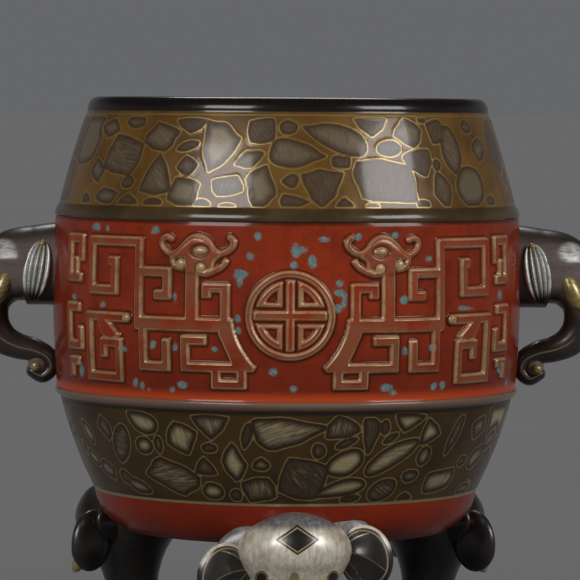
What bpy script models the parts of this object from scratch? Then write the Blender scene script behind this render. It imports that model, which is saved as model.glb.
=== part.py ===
"""Tripod incense burner: a hollow glazed porcelain bowl with moulded fret dragons.

The bowl stands on three elephant heads and is carried by two more as handles.
Everything was luted together and fired as one, so the burner is one solid.
Metres, +Z up. The origin is on the ground, on the bowl's axis.
The front roundel faces -Y and the handles lie along X.
"""

import math

import bmesh
import bpy
from mathutils import Matrix, Vector

# Heights above the ground
RIM_HEIGHT = 0.1923
LIP_HEIGHT = 0.0045
UPPER_RIDGE_HEIGHT = 0.1532
LOWER_RIDGE_HEIGHT = 0.0902
BASE_LINE_HEIGHT = 0.0560
UNDERSIDE_HEIGHT = 0.0420

# Outer radii of the bowl
LIP_OUTER_RADIUS = 0.0699
LIP_FLAT_OUTER_RADIUS = 0.0662
UPPER_RIDGE_RADIUS = 0.0806
PANEL_RADIUS = 0.0816
LOWER_RIDGE_RADIUS = 0.0801
BASE_LINE_RADIUS = 0.0668
UNDERSIDE_RADIUS = 0.0575

# Section of the two ridges and the bulge of the bands between them
RIDGE_HALF_HEIGHT = 0.0022
RIDGE_RISE = 0.0011
LOWER_RIDGE_HALF_HEIGHT = 0.0016
LOWER_RIDGE_RISE = 0.0012
PANEL_TOP_DROP = 0.0007
PANEL_BOTTOM_DROP = 0.0014
UPPER_BAND_BULGE = 0.0004
LOWER_BAND_BULGE = 0.0010
BASE_BULGE = 0.0022

# Hollow of the bowl
WALL = 0.0046
MOUTH_WALL = 0.0078
FLOOR_THICKNESS = 0.0062
FLOOR_CORNER = 0.0120
CORNER_BOW_SHARE = 0.21
THROAT_FLARE = 0.0015
THROAT_DROP_SHARE = 2.2
MOUTH_ROUND_SHARE = 0.3

# Moulded relief on the red panel
RELIEF_RISE = 0.0010
RELIEF_ROOT = 0.0016
RELIEF_STEP = 0.00009
STROKE_HALF_WIDTH = 0.00140
BAR_HALF_WIDTH = 0.00235
CURL_HALF_WIDTH = 0.00095
RELIEF_DRAFT = 0.00055
ROUNDEL_RADIUS = 0.0149
ROUNDEL_HEIGHT_SHARE = 0.4833
PATTERN_UNITS = 60.0
SLAB_DEPTH = 0.0040
WELD = 0.000002
ROUNDEL_ANGLES = (0.0, math.pi)

# Handles: an elephant's head with its trunk curled back to the bowl
HANDLE_HEIGHT = 0.1340
HANDLE_REACH = 0.1108
HANDLE_ANGLES = (0.0, math.pi)
NECK_SINK_SHARE = 0.85

# Feet: an elephant's head whose trunk reaches the ground
FOOT_RADIUS = 0.0625
FOOT_TOP = 0.0560
FOOT_TURN = math.radians(2.1)
FRONT_EAR_LIFT = 0.0030
FOOT_ANGLES = tuple(math.radians(degrees) for degrees in (270.0, 30.0, 150.0))

# Facets
TURN_STEPS = 44
SWEEP_SIDES = 10
FLAT_ANGLE = math.radians(0.2)

GLAZE_COLOUR = (0.16, 0.035, 0.018, 1.0)
GLAZE_ROUGHNESS = 0.22


def clear_scene():
    for item in list(bpy.data.objects):
        bpy.data.objects.remove(item, do_unlink=True)


def make_glaze():
    """Coral red over-glaze, the body's main colour."""
    material = bpy.data.materials.new("censer_glaze")
    material.use_nodes = True
    shader = material.node_tree.nodes["Principled BSDF"]
    shader.inputs["Base Color"].default_value = GLAZE_COLOUR
    shader.inputs["Roughness"].default_value = GLAZE_ROUGHNESS
    shader.inputs["Metallic"].default_value = 0.0
    return material


def object_from(form, name):
    """Turn a bmesh into a linked object with its faces pointing out."""
    bmesh.ops.recalc_face_normals(form, faces=form.faces)
    mesh = bpy.data.meshes.new(name)
    form.to_mesh(mesh)
    form.free()
    item = bpy.data.objects.new(name, mesh)
    bpy.context.scene.collection.objects.link(item)
    return item


def as_guide(item):
    item.hide_render = True
    item.display_type = "WIRE"
    return item


def combine(base, others, operation, name):
    """Join or cut base with several closed forms and return the result as one object."""
    group = bpy.data.collections.new(name + "_tools")
    bpy.context.scene.collection.children.link(group)
    for item in others:
        bpy.context.scene.collection.objects.unlink(item)
        group.objects.link(as_guide(item))
    modifier = base.modifiers.new(name, "BOOLEAN")
    modifier.operation = operation
    modifier.operand_type = "COLLECTION"
    modifier.collection = group
    modifier.solver = "EXACT"
    evaluated = base.evaluated_get(bpy.context.evaluated_depsgraph_get())
    mesh = bpy.data.meshes.new_from_object(evaluated)
    result = bpy.data.objects.new(name, mesh)
    bpy.context.scene.collection.objects.link(result)
    bpy.data.objects.remove(base, do_unlink=True)
    for item in list(group.objects):
        bpy.data.objects.remove(item, do_unlink=True)
    bpy.data.collections.remove(group)
    return result


def bowed(start, end, bulge, pieces):
    """Points from start to end along a shallow outward bow, start left out."""
    along = Vector(end) - Vector(start)
    outward = Vector((along.y, -along.x)).normalized()
    points = []
    for index in range(1, pieces + 1):
        share = index / pieces
        bow = bulge * 4.0 * share * (1.0 - share)
        points.append(tuple(Vector(start) + along * share + outward * bow))
    return points


def ridge_points(radius, height, half_height, rise, below, above):
    """Round ridge from the surface below it to the surface above it, bottom first."""
    return [
        (below, height - half_height),
        (radius - 0.1 * rise, height - 0.5 * half_height),
        (radius - 0.1 * rise, height + 0.5 * half_height),
        (above, height + half_height),
    ]


def panel_bottom():
    return LOWER_RIDGE_HEIGHT + LOWER_RIDGE_HALF_HEIGHT


def panel_top():
    return UPPER_RIDGE_HEIGHT - RIDGE_HALF_HEIGHT


def panel_height():
    return panel_top() - panel_bottom()


def panel_radius(height):
    """Radius of the red panel's ground at a height: fullest at its middle."""
    middle = 0.5 * (panel_top() + panel_bottom())
    share = (height - middle) / (0.5 * panel_height())
    return PANEL_RADIUS - (PANEL_TOP_DROP if share > 0.0 else PANEL_BOTTOM_DROP) * abs(share)


def lower_profile():
    """Outer side of the bowl from the middle of its underside up to the red panel."""
    base_line = (BASE_LINE_RADIUS, BASE_LINE_HEIGHT)
    points = [(0.0, UNDERSIDE_HEIGHT), (UNDERSIDE_RADIUS, UNDERSIDE_HEIGHT)]
    points += bowed(points[-1], base_line, BASE_BULGE, 3)
    ridge = ridge_points(
        LOWER_RIDGE_RADIUS, LOWER_RIDGE_HEIGHT, LOWER_RIDGE_HALF_HEIGHT, LOWER_RIDGE_RISE,
        LOWER_RIDGE_RADIUS - LOWER_RIDGE_RISE, panel_radius(panel_bottom()))
    points += bowed(base_line, ridge[0], LOWER_BAND_BULGE, 3)
    return points + ridge[1:]


def upper_profile():
    """Outer side of the bowl from the red panel up to the flat of the lip."""
    points = ridge_points(
        UPPER_RIDGE_RADIUS, UPPER_RIDGE_HEIGHT, RIDGE_HALF_HEIGHT, RIDGE_RISE,
        panel_radius(panel_top()), UPPER_RIDGE_RADIUS - RIDGE_RISE)
    lip_foot = (LIP_OUTER_RADIUS, RIM_HEIGHT - LIP_HEIGHT)
    points += bowed(points[-1], lip_foot, UPPER_BAND_BULGE, 2)
    lip_depth = LIP_OUTER_RADIUS - LIP_FLAT_OUTER_RADIUS
    for index in range(1, 4):
        angle = 0.5 * math.pi * index / 3.0
        points.append((
            LIP_FLAT_OUTER_RADIUS + lip_depth * math.cos(angle),
            lip_foot[1] + LIP_HEIGHT * math.sin(angle)))
    return points


def cavity_profile():
    """Hollow of the bowl from the middle of its floor up to above the mouth."""
    floor = UNDERSIDE_HEIGHT + FLOOR_THICKNESS
    mouth_radius = LIP_OUTER_RADIUS - MOUTH_WALL
    band_top = min(UPPER_RIDGE_RADIUS - RIDGE_RISE, panel_radius(panel_top()))
    band_bottom = min(LOWER_RIDGE_RADIUS - LOWER_RIDGE_RISE, panel_radius(panel_bottom()))
    shoulder = (band_top - WALL, UPPER_RIDGE_HEIGHT)
    waist = (band_bottom - WALL, LOWER_RIDGE_HEIGHT)
    floor_edge = (BASE_LINE_RADIUS - WALL - FLOOR_CORNER, floor)
    points = [(0.0, floor), floor_edge]
    corner_end = (BASE_LINE_RADIUS - WALL, floor + FLOOR_CORNER)
    points += bowed(floor_edge, corner_end, CORNER_BOW_SHARE * FLOOR_CORNER, 2)
    points += bowed(corner_end, waist, LOWER_BAND_BULGE, 2)
    points += bowed(waist, shoulder, PANEL_BOTTOM_DROP, 2)
    mouth_round = MOUTH_ROUND_SHARE * LIP_HEIGHT
    points.append((mouth_radius + THROAT_FLARE, RIM_HEIGHT - THROAT_DROP_SHARE * LIP_HEIGHT))
    points.append((mouth_radius, RIM_HEIGHT - LIP_HEIGHT))
    points.append((mouth_radius, RIM_HEIGHT - mouth_round))
    points.append((mouth_radius + mouth_round, RIM_HEIGHT))
    points.append((mouth_radius + mouth_round, RIM_HEIGHT + LIP_HEIGHT))
    return points


def turned_skin(form, profile):
    """Turn a profile into rings of faces; returns its first and last ring."""
    rings = []
    for radius, height in profile:
        ring = []
        for step in range(TURN_STEPS):
            angle = 2.0 * math.pi * step / TURN_STEPS
            ring.append(form.verts.new((radius * math.cos(angle), radius * math.sin(angle), height)))
        rings.append(ring)
    for lower, upper in zip(rings, rings[1:]):
        for step in range(TURN_STEPS):
            after = (step + 1) % TURN_STEPS
            form.faces.new((lower[step], lower[after], upper[after], upper[step]))
    return rings[0], rings[-1]


def bowl_solid():
    """Outer form of the bowl as a closed solid, with the relief in its red panel."""
    form = bmesh.new()
    underside, _ = turned_skin(form, lower_profile()[1:])
    form.faces.new(underside)
    _, lip = turned_skin(form, upper_profile())
    form.faces.new(lip)
    bend_panel(form, flat_panel())
    bmesh.ops.remove_doubles(form, verts=form.verts, dist=WELD)
    return object_from(form, "bowl")


def cavity_solid():
    form = bmesh.new()
    floor, top = turned_skin(form, cavity_profile()[1:])
    form.faces.new(floor)
    form.faces.new(top)
    return object_from(form, "cavity")


def offset_points(path, distance, closed):
    """Points at a distance to the left of a path, with mitred corners."""
    count = len(path)
    result = []
    for index, point in enumerate(path):
        here = Vector(point)
        before = Vector(path[index - 1]) if closed or index > 0 else None
        after = Vector(path[(index + 1) % count]) if closed or index < count - 1 else None
        into = (here - before).normalized() if before is not None else (after - here).normalized()
        out = (after - here).normalized() if after is not None else into
        left_in = Vector((-into.y, into.x))
        left_out = Vector((-out.y, out.x))
        middle = (left_in + left_out).normalized()
        result.append(here + middle * (distance / max(0.5, middle.dot(left_out))))
    return result


def shortened(path, distance):
    """The path with both ends moved inward."""
    first = Vector(path[0])
    last = Vector(path[-1])
    start = first + (Vector(path[1]) - first).normalized() * distance
    end = last + (Vector(path[-2]) - last).normalized() * distance
    return [start] + [Vector(point) for point in path[1:-1]] + [end]


def stroke(path, half_width, rank):
    """Raised band along a flat path: x along the panel, y up it, z out of it."""
    form = bmesh.new()
    unit = panel_height() / PATTERN_UNITS
    scaled = [Vector(point) * unit for point in path]
    top = shortened(scaled, RELIEF_DRAFT)
    rise = RELIEF_RISE + rank * RELIEF_STEP
    root = -RELIEF_ROOT - rank * RELIEF_STEP
    columns = []
    for line, width, level in (
            (scaled, half_width + RELIEF_DRAFT, root), (scaled, -half_width - RELIEF_DRAFT, root),
            (top, -half_width + RELIEF_DRAFT, rise), (top, half_width - RELIEF_DRAFT, rise)):
        corners = offset_points(line, width, False)
        columns.append([form.verts.new((corner.x, corner.y, level)) for corner in corners])
    for index in range(len(path) - 1):
        for side in range(4):
            one = columns[side]
            two = columns[(side + 1) % 4]
            form.faces.new((one[index], one[index + 1], two[index + 1], two[index]))
    form.faces.new([column[0] for column in columns])
    form.faces.new([column[-1] for column in columns])
    bmesh.ops.triangulate(form, faces=form.faces)
    return object_from(form, "stroke")


def plate(outline, rank):
    """Raised flat field with a drafted edge, from its outline taken anticlockwise."""
    form = bmesh.new()
    unit = panel_height() / PATTERN_UNITS
    scaled = [Vector(point) * unit for point in outline]
    rings = []
    for inset, level in (
            (-RELIEF_DRAFT, -RELIEF_ROOT - rank * RELIEF_STEP),
            (RELIEF_DRAFT, RELIEF_RISE + rank * RELIEF_STEP)):
        corners = offset_points(scaled, inset, True)
        rings.append([form.verts.new((corner.x, corner.y, level)) for corner in corners])
    count = len(outline)
    for index in range(count):
        after = (index + 1) % count
        form.faces.new((rings[0][index], rings[0][after], rings[1][after], rings[1][index]))
    form.faces.new(rings[0])
    form.faces.new(rings[1])
    bmesh.ops.triangulate(form, faces=form.faces)
    return object_from(form, "plate")


def bead(centre, radius, rank):
    """Small round boss."""
    form = bmesh.new()
    unit = panel_height() / PATTERN_UNITS
    rise = RELIEF_RISE + rank * RELIEF_STEP
    rings = []
    for share, level in ((1.0, -RELIEF_ROOT - rank * RELIEF_STEP), (0.7, rise)):
        ring = []
        for step in range(6):
            angle = 2.0 * math.pi * (step + 0.3) / 6.0
            ring.append(form.verts.new((
                (centre[0] + share * radius * math.cos(angle)) * unit,
                (centre[1] + share * radius * math.sin(angle)) * unit, level)))
        rings.append(ring)
    for lower, upper in zip(rings, rings[1:]):
        for step in range(6):
            after = (step + 1) % 6
            form.faces.new((lower[step], lower[after], upper[after], upper[step]))
    form.faces.new(rings[0])
    form.faces.new(rings[-1])
    return object_from(form, "bead")


def curve_points(start, pull, end, pieces):
    """Points along a quadratic curve, both ends included."""
    points = []
    for index in range(pieces + 1):
        share = index / pieces
        rest = 1.0 - share
        points.append((
            rest * rest * start[0] + 2.0 * rest * share * pull[0] + share * share * end[0],
            rest * rest * start[1] + 2.0 * rest * share * pull[1] + share * share * end[1]))
    return points


def arc_points(centre, radius, start, end, pieces):
    """Points along an arc; the angles are degrees from the panel's length."""
    points = []
    for index in range(pieces + 1):
        angle = math.radians(start + (end - start) * index / pieces)
        points.append((centre[0] + radius * math.cos(angle), centre[1] + radius * math.sin(angle)))
    return points


# The dragon's strokes, in sixtieths of the panel's height: across from the roundel, then up
OUTER_SPIRAL = ((69.0, 46.0), (65.6, 46.0), (65.6, 36.2), (77.6, 36.2), (77.6, 52.8), (54.6, 52.8), (54.6, 25.6))
BODY_BAR = ((56.4, 25.6), (20.5, 25.6))
NECK = ((33.7, 25.0), (33.7, 46.5))
NECK_HOOK = ((54.6, 43.0), (43.1, 43.0), (43.1, 35.3), (48.4, 35.3), (48.4, 38.4))
THROAT_FRET = ((22.0, 25.6), (22.0, 38.1), (28.5, 38.1), (28.5, 34.4))
BELLY_FRET = ((52.8, 25.6), (52.8, 11.2), (43.5, 11.2), (43.5, 20.8))
CHEST_FRET = ((28.3, 20.4), (36.3, 20.4), (36.3, 11.4), (14.5, 11.4))
CLAW = ((16.3, 11.4), (16.3, 5.8), (25.2, 5.8), (25.2, 11.4))
TAIL = ((58.6, 27.0), (79.2, 27.0), (79.2, 6.6), (63.6, 6.6), (63.6, 18.4), (71.4, 18.4), (71.4, 13.0))
UPPER_HOOK = ((84.6, 45.2), (84.6, 53.2), (92.8, 53.2), (92.8, 39.8), (84.2, 39.8))
LOWER_HOOK = ((84.8, 29.6), (93.2, 29.6), (93.2, 16.6), (85.2, 16.6), (85.2, 23.4))


def dragon_strokes():
    """Every raised form of the dragon to the right of a roundel, flat."""
    forms = [
        stroke(BODY_BAR, BAR_HALF_WIDTH, 0),
        stroke(NECK, BAR_HALF_WIDTH, 0),
    ]
    bands = (OUTER_SPIRAL, NECK_HOOK, THROAT_FRET, BELLY_FRET, CHEST_FRET, CLAW, TAIL, UPPER_HOOK, LOWER_HOOK)
    for band in bands:
        forms.append(stroke(band, STROKE_HALF_WIDTH, 0))
    flare = curve_points((19.2, 28.0), (18.6, 19.0), (11.2, 11.6), 4)
    flare += [(12.4, 9.9), (20.0, 9.9), (20.2, 13.4), (24.4, 22.6), (24.4, 28.0)]
    forms.append(plate(flare, 0))
    forms.append(plate(((62.4, 21.0), (66.5, 19.2), (71.5, 20.0), (76.0, 27.6), (70.5, 27.4)), 0))
    forms.append(bead((59.6, 27.0), 1.9, 3))
    forms += head_strokes()
    return forms


def head_strokes():
    """The dragon's cloud-shaped head: brow, horns, cheek and jaw curls, eye and snout beads."""
    face = [(22.6, 48.6), (26.5, 46.9), (29.0, 46.6), (31.2, 43.8), (36.4, 43.8), (39.4, 47.6),
            (36.8, 51.6), (31.0, 54.6), (26.6, 52.6)]
    brow = [(24.2, 49.6), (27.0, 53.0), (30.6, 54.7), (34.6, 52.7), (38.0, 50.0)]
    brow += arc_points((41.0, 52.6), 3.1, -110.0, 130.0, 4)
    horn = [(26.0, 49.6), (22.4, 49.6)] + arc_points((21.2, 53.0), 3.2, 240.0, 130.0, 3)
    jaw = [(20.6, 47.4)] + curve_points((21.8, 45.4), (24.4, 43.9), (28.2, 42.6), 2)
    jaw += arc_points((29.4, 45.2), 2.6, -60.0, 30.0, 2)
    cheek = [(40.4, 48.8)] + arc_points((37.2, 46.6), 2.5, 0.0, -115.0, 3)
    return [
        plate(face, 1),
        stroke(brow, CURL_HALF_WIDTH, 6),
        stroke(horn, CURL_HALF_WIDTH, 5),
        stroke(jaw, CURL_HALF_WIDTH, 7),
        stroke(cheek, CURL_HALF_WIDTH, 8),
        bead((29.4, 50.3), 1.7, 5),
        bead((29.4, 45.2), 1.3, 9),
        bead((36.2, 46.8), 1.3, 10),
    ]


def roundel_strokes():
    """Round medallion: a ring, a cross and four quarter-round frets."""
    unit = panel_height() / PATTERN_UNITS
    radius = ROUNDEL_RADIUS / unit
    middle = (0.0, ROUNDEL_HEIGHT_SHARE * PATTERN_UNITS)
    forms = [ring_band(middle, 0.82 * radius, radius, 4)]
    bar = 0.805 * radius
    forms.append(stroke(((-bar, middle[1]), (bar, middle[1])), 0.10 * ROUNDEL_RADIUS, 3))
    forms.append(stroke(((0.0, middle[1] - bar), (0.0, middle[1] + bar)), 0.09 * ROUNDEL_RADIUS, 1))
    for across in (-1.0, 1.0):
        for up in (-1.0, 1.0):
            forms.append(quarter_fret(middle, radius, across, up))
    return forms


def ring_band(centre, inner, outer, rank):
    """Raised ring as a square-sectioned band."""
    form = bmesh.new()
    unit = panel_height() / PATTERN_UNITS
    draft = RELIEF_DRAFT / unit
    steps = 20
    rise = RELIEF_RISE + rank * RELIEF_STEP
    root = -RELIEF_ROOT - rank * RELIEF_STEP
    rings = []
    for radius, level in ((outer, root), (outer - draft, rise), (inner + draft, rise), (inner, root)):
        ring = []
        for step in range(steps):
            angle = 2.0 * math.pi * (step + 0.5) / steps
            ring.append(form.verts.new((
                (centre[0] + radius * math.cos(angle)) * unit,
                (centre[1] + radius * math.sin(angle)) * unit, level)))
        rings.append(ring)
    for index in range(4):
        one = rings[index]
        two = rings[(index + 1) % 4]
        for step in range(steps):
            after = (step + 1) % steps
            form.faces.new((one[step], one[after], two[after], two[step]))
    return object_from(form, "ring")


def quarter_fret(middle, radius, across, up):
    """Quarter-round field beside the cross, open at its heart."""
    left = 0.20 * radius
    low = 0.29 * radius
    rim = 0.74 * radius
    start = math.degrees(math.asin(low / rim))
    end = math.degrees(math.acos(left / rim))
    outline = [(left, low)] + arc_points((0.0, 0.0), rim, start, end, 3)
    placed = [(middle[0] + across * x, middle[1] + up * y) for x, y in outline]
    if across * up < 0.0:
        placed.reverse()
    return plate(placed, 2 if across * up > 0.0 else 0)


def mirrored(item, name):
    """Copy of an object reflected across the roundel's axis."""
    form = bmesh.new()
    form.from_mesh(item.data)
    form.transform(Matrix.Diagonal((-1.0, 1.0, 1.0, 1.0)))
    return object_from(form, name)


def flat_panel():
    """Front half of the red panel laid flat, x along it and y up it, with its relief."""
    step_length = PANEL_RADIUS * 2.0 * math.pi / TURN_STEPS
    half_length = step_length * TURN_STEPS / 4.0
    slab = bmesh.new()
    bmesh.ops.create_cube(slab, size=1.0)
    slab.transform(
        Matrix.Translation((0.0, 0.5 * panel_height(), -SLAB_DEPTH / 2.0))
        @ Matrix.Diagonal((2.0 * half_length, panel_height(), SLAB_DEPTH, 1.0)))
    strokes = dragon_strokes()
    dragon = combine(strokes[0], strokes[1:], "UNION", "dragon")
    others = [dragon, mirrored(dragon, "dragon_facing")] + roundel_strokes()
    panel = combine(object_from(slab, "slab"), others, "UNION", "panel")
    form = bmesh.new()
    form.from_mesh(panel.data)
    bpy.data.objects.remove(panel, do_unlink=True)
    hidden = [face for face in form.faces if not is_seen(face, half_length)]
    bmesh.ops.delete(form, geom=hidden, context="FACES")
    bmesh.ops.dissolve_limit(form, angle_limit=FLAT_ANGLE, verts=form.verts, edges=form.edges)
    cuts = [((step_length * step, 0.0, 0.0), (1.0, 0.0, 0.0)) for step in range(
        1 - TURN_STEPS // 4, TURN_STEPS // 4)]
    cuts.append(((0.0, 0.5 * panel_height(), 0.0), (0.0, 1.0, 0.0)))
    for place, across in cuts:
        everything = form.verts[:] + form.edges[:] + form.faces[:]
        bmesh.ops.bisect_plane(form, geom=everything, dist=WELD, plane_co=place, plane_no=across)
    bmesh.ops.triangulate(form, faces=form.faces)
    return form


def is_seen(face, half_length):
    """True for the ground and relief, false for the slab's back and its four edges."""
    middle = face.calc_center_median()
    at_end = abs(abs(middle.x) - half_length) < WELD
    at_edge = min(abs(middle.y), abs(middle.y - panel_height())) < WELD
    return not (at_end or at_edge or abs(middle.z + SLAB_DEPTH) < WELD)


def bend_panel(form, flat):
    """Bend the flat panel round the front and the back of the bowl, facet by facet."""
    step_angle = 2.0 * math.pi / TURN_STEPS
    step_length = PANEL_RADIUS * step_angle
    for centre in ROUNDEL_ANGLES:
        placed = {}
        for vert in flat.verts:
            height = panel_bottom() + vert.co.y
            radius = panel_radius(height) + vert.co.z
            facet = math.floor(vert.co.x / step_length)
            share = vert.co.x / step_length - facet
            start = centre + facet * step_angle
            end = start + step_angle
            placed[vert] = form.verts.new((
                radius * ((1.0 - share) * math.sin(start) + share * math.sin(end)),
                -radius * ((1.0 - share) * math.cos(start) + share * math.cos(end)), height))
        for face in flat.faces:
            form.faces.new([placed[vert] for vert in face.verts])
    flat.free()


def smooth_stations(stations, pieces):
    """Stations with more between them, on a smooth curve through each value."""
    rows = [stations[0]] + list(stations) + [stations[-1]]
    result = []
    for index in range(1, len(rows) - 2):
        for piece in range(pieces):
            share = piece / pieces
            row = []
            for a, b, c, d in zip(rows[index - 1], rows[index], rows[index + 1], rows[index + 2]):
                row.append(0.5 * (
                    2.0 * b + (c - a) * share + (2.0 * a - 5.0 * b + 4.0 * c - d) * share ** 2
                    + (3.0 * b - a - 3.0 * c + d) * share ** 3))
            result.append(row)
    result.append(list(stations[-1]))
    return result


def swept_form(stations, sides):
    """Closed limb along stations of (out, up, half thickness, half width)."""
    form = bmesh.new()
    rings = []
    last = len(stations) - 1
    for index, (out, up, half_thickness, half_width) in enumerate(stations):
        before = stations[max(0, index - 1)]
        after = stations[min(last, index + 1)]
        along = Vector((after[0] - before[0], 0.0, after[1] - before[1])).normalized()
        across = Vector((-along.z, 0.0, along.x))
        ring = []
        for step in range(sides):
            angle = 2.0 * math.pi * (step + 0.5) / sides
            place = Vector((out, 0.0, up)) + across * (half_thickness * math.cos(angle))
            place.y = half_width * math.sin(angle)
            ring.append(form.verts.new(place))
        rings.append(ring)
    for lower, upper in zip(rings, rings[1:]):
        for step in range(sides):
            after_step = (step + 1) % sides
            form.faces.new((lower[step], lower[after_step], upper[after_step], upper[step]))
    form.faces.new(rings[0])
    form.faces.new(rings[-1])
    return form


def ear_form(centre, half_sizes, turns):
    """Ear or fold of skin as a squashed ball, turned about X, Y and Z in that order."""
    form = bmesh.new()
    bmesh.ops.create_uvsphere(form, u_segments=8, v_segments=5, radius=1.0)
    shape = Matrix.Diagonal((*half_sizes, 1.0))
    turn = Matrix.Rotation(turns[2], 4, "Z") @ Matrix.Rotation(turns[1], 4, "Y") @ Matrix.Rotation(turns[0], 4, "X")
    form.transform(Matrix.Translation(Vector(centre)) @ turn @ shape)
    return form


def tusk_form(start, end, radius):
    """Short tapered tusk."""
    form = bmesh.new()
    way = Vector(end) - Vector(start)
    bmesh.ops.create_cone(form, cap_ends=True, segments=6, radius1=radius, radius2=0.45 * radius, depth=way.length)
    turn = way.to_track_quat("Z", "Y").to_matrix().to_4x4()
    form.transform(Matrix.Translation(Vector(start) + 0.5 * way) @ turn)
    return form


# Handle, in hundredths of its reach: from the bowl's axis, above its height, half thickness, half width
HANDLE_NECK = (13.27, 11.2)
HANDLE_STATIONS = (
    (78.5, -0.52, 12.6, 11.4), (86.1, -1.6, 11.9, 10.6), (91.6, -6.3, 9.6, 8.6),
    (93.9, -12.7, 6.9, 6.4), (92.9, -19.0, 5.60, 5.23), (89.7, -23.6, 4.87, 4.69),
    (85.0, -26.1, 4.15, 4.33), (79.6, -27.4, 3.70, 4.24), (75.4, -29.5, 3.07, 4.15),
    (74.2, -32.7, 2.53, 4.06), (76.8, -35.4, 2.44, 3.97), (80.0, -34.0, 2.17, 3.79))
HANDLE_CURL = ((78.3, 0.0, -32.0), (3.4, 4.9, 3.3))
HANDLE_EAR = ((78.0, 10.2, -2.0), (4.6, 3.25, 9.6))
HANDLE_EAR_TURNS = (8.0, -8.0, -14.0)
HANDLE_TUSK = ((87.6, 7.9, -2.7), (91.9, 8.9, -12.4), 3.0)

# Foot, in hundredths of its height: out from its own axis, below its top, half thickness, half width
FOOT_STATIONS = (
    (-3.57, 7.14, 7.14, 7.14), (-2.14, 10.5, 20.0, 19.29), (0.0, 17.2, 31.2, 30.4),
    (0.71, 25.6, 34.29, 34.29), (0.36, 35.0, 30.0, 31.79), (0.0, 45.54, 24.29, 25.36),
    (-1.07, 58.04, 18.93, 18.93), (-1.79, 71.43, 15.71, 16.07), (1.43, 83.93, 13.93, 15.0),
    (11.43, 91.43, 11.43, 14.29), (22.86, 88.21, 8.93, 12.86), (26.07, 79.64, 6.43, 10.36))
FOOT_EAR = ((3.57, 42.5, 36.25), (7.14, 16.5, 19.64))
FOOT_EAR_TURNS = (12.0, 0.0, -16.0)
FOOT_SHAWL = ((-3.57, 0.0, 23.21), (8.93, 47.5, 19.29))
FOOT_TUSK = ((21.43, 15.36, 42.86), (30.0, 17.5, 58.93), 4.64)


def handle_stations():
    """Neck, brow, trunk and curl of a handle, out from the bowl's axis and up from the ground."""
    share = HANDLE_REACH / 100.0
    wall = PANEL_RADIUS - NECK_SINK_SHARE * WALL
    stations = [(wall, HANDLE_HEIGHT, HANDLE_NECK[0] * share, HANDLE_NECK[1] * share)]
    for out, up, half_thickness, half_width in HANDLE_STATIONS:
        stations.append((out * share, HANDLE_HEIGHT + up * share, half_thickness * share, half_width * share))
    return stations


def handle_place(place, side):
    """Point of a handle's own shares on one side of it, in metres."""
    share = HANDLE_REACH / 100.0
    return place[0] * share, side * place[1] * share, HANDLE_HEIGHT + place[2] * share


def handle_forms(angle):
    """One handle: head with its trunk, two ears and two tusks."""
    share = HANDLE_REACH / 100.0
    forms = [swept_form(smooth_stations(handle_stations(), 2), SWEEP_SIDES)]
    curl_place, curl_sizes = HANDLE_CURL
    forms.append(ear_form(
        handle_place(curl_place, 1.0), [size * share for size in curl_sizes], (0.0, 0.0, 0.0)))
    ear_place, ear_sizes = HANDLE_EAR
    lean, nod, spread = (math.radians(degrees) for degrees in HANDLE_EAR_TURNS)
    root, tip, radius = HANDLE_TUSK
    for side in (-1.0, 1.0):
        forms.append(ear_form(
            handle_place(ear_place, side), [size * share for size in ear_sizes], (side * lean, nod, side * spread)))
        forms.append(tusk_form(handle_place(root, side), handle_place(tip, side), radius * share))
    return turned_about_axis(forms, angle, "handle")


def foot_stations():
    """Brow, head, trunk and outward toe of a foot, top first."""
    share = FOOT_TOP / 100.0
    return [
        (FOOT_RADIUS + out * share, FOOT_TOP - down * share, half_thickness * share, half_width * share)
        for out, down, half_thickness, half_width in FOOT_STATIONS]


def foot_place(place, side):
    """Point of a foot's own shares on one side of it, in metres."""
    share = FOOT_TOP / 100.0
    return FOOT_RADIUS + place[0] * share, side * place[1] * share, FOOT_TOP - place[2] * share


def foot_forms(angle, ear_lift):
    """One foot: head with its trunk, a fold from ear to ear and two tusks, cut flat where it stands."""
    share = FOOT_TOP / 100.0
    limb = swept_form(foot_stations(), SWEEP_SIDES)
    everything = limb.verts[:] + limb.edges[:] + limb.faces[:]
    cut = bmesh.ops.bisect_plane(
        limb, geom=everything, dist=WELD, plane_co=(0.0, 0.0, 0.0), plane_no=(0.0, 0.0, -1.0), clear_outer=True)
    rim = [edge for edge in cut["geom_cut"] if isinstance(edge, bmesh.types.BMEdge)]
    bmesh.ops.contextual_create(limb, geom=rim)
    ear_place, ear_sizes = FOOT_EAR
    shawl_place, shawl_sizes = FOOT_SHAWL
    tilt = math.atan2(ear_lift, ear_place[1] * share)
    forms = [limb, ear_form(foot_place(shawl_place, 1.0), [size * share for size in shawl_sizes], (tilt, 0.0, 0.0))]
    lean, nod, spread = (math.radians(degrees) for degrees in FOOT_EAR_TURNS)
    root, tip, radius = FOOT_TUSK
    for side in (-1.0, 1.0):
        place = Vector(foot_place(ear_place, side)) + Vector((0.0, 0.0, side * ear_lift))
        forms.append(ear_form(place, [size * share for size in ear_sizes], (side * lean, nod, side * spread)))
        forms.append(tusk_form(foot_place(root, side), foot_place(tip, side), radius * share))
    return turned_about_axis(forms, angle, "foot")


def turned_about_axis(forms, angle, name):
    """Turn forms built along +X about the bowl's axis and link them."""
    turn = Matrix.Rotation(angle, 4, "Z")
    items = []
    for form in forms:
        form.transform(turn)
        items.append(object_from(form, name))
    return items


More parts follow.
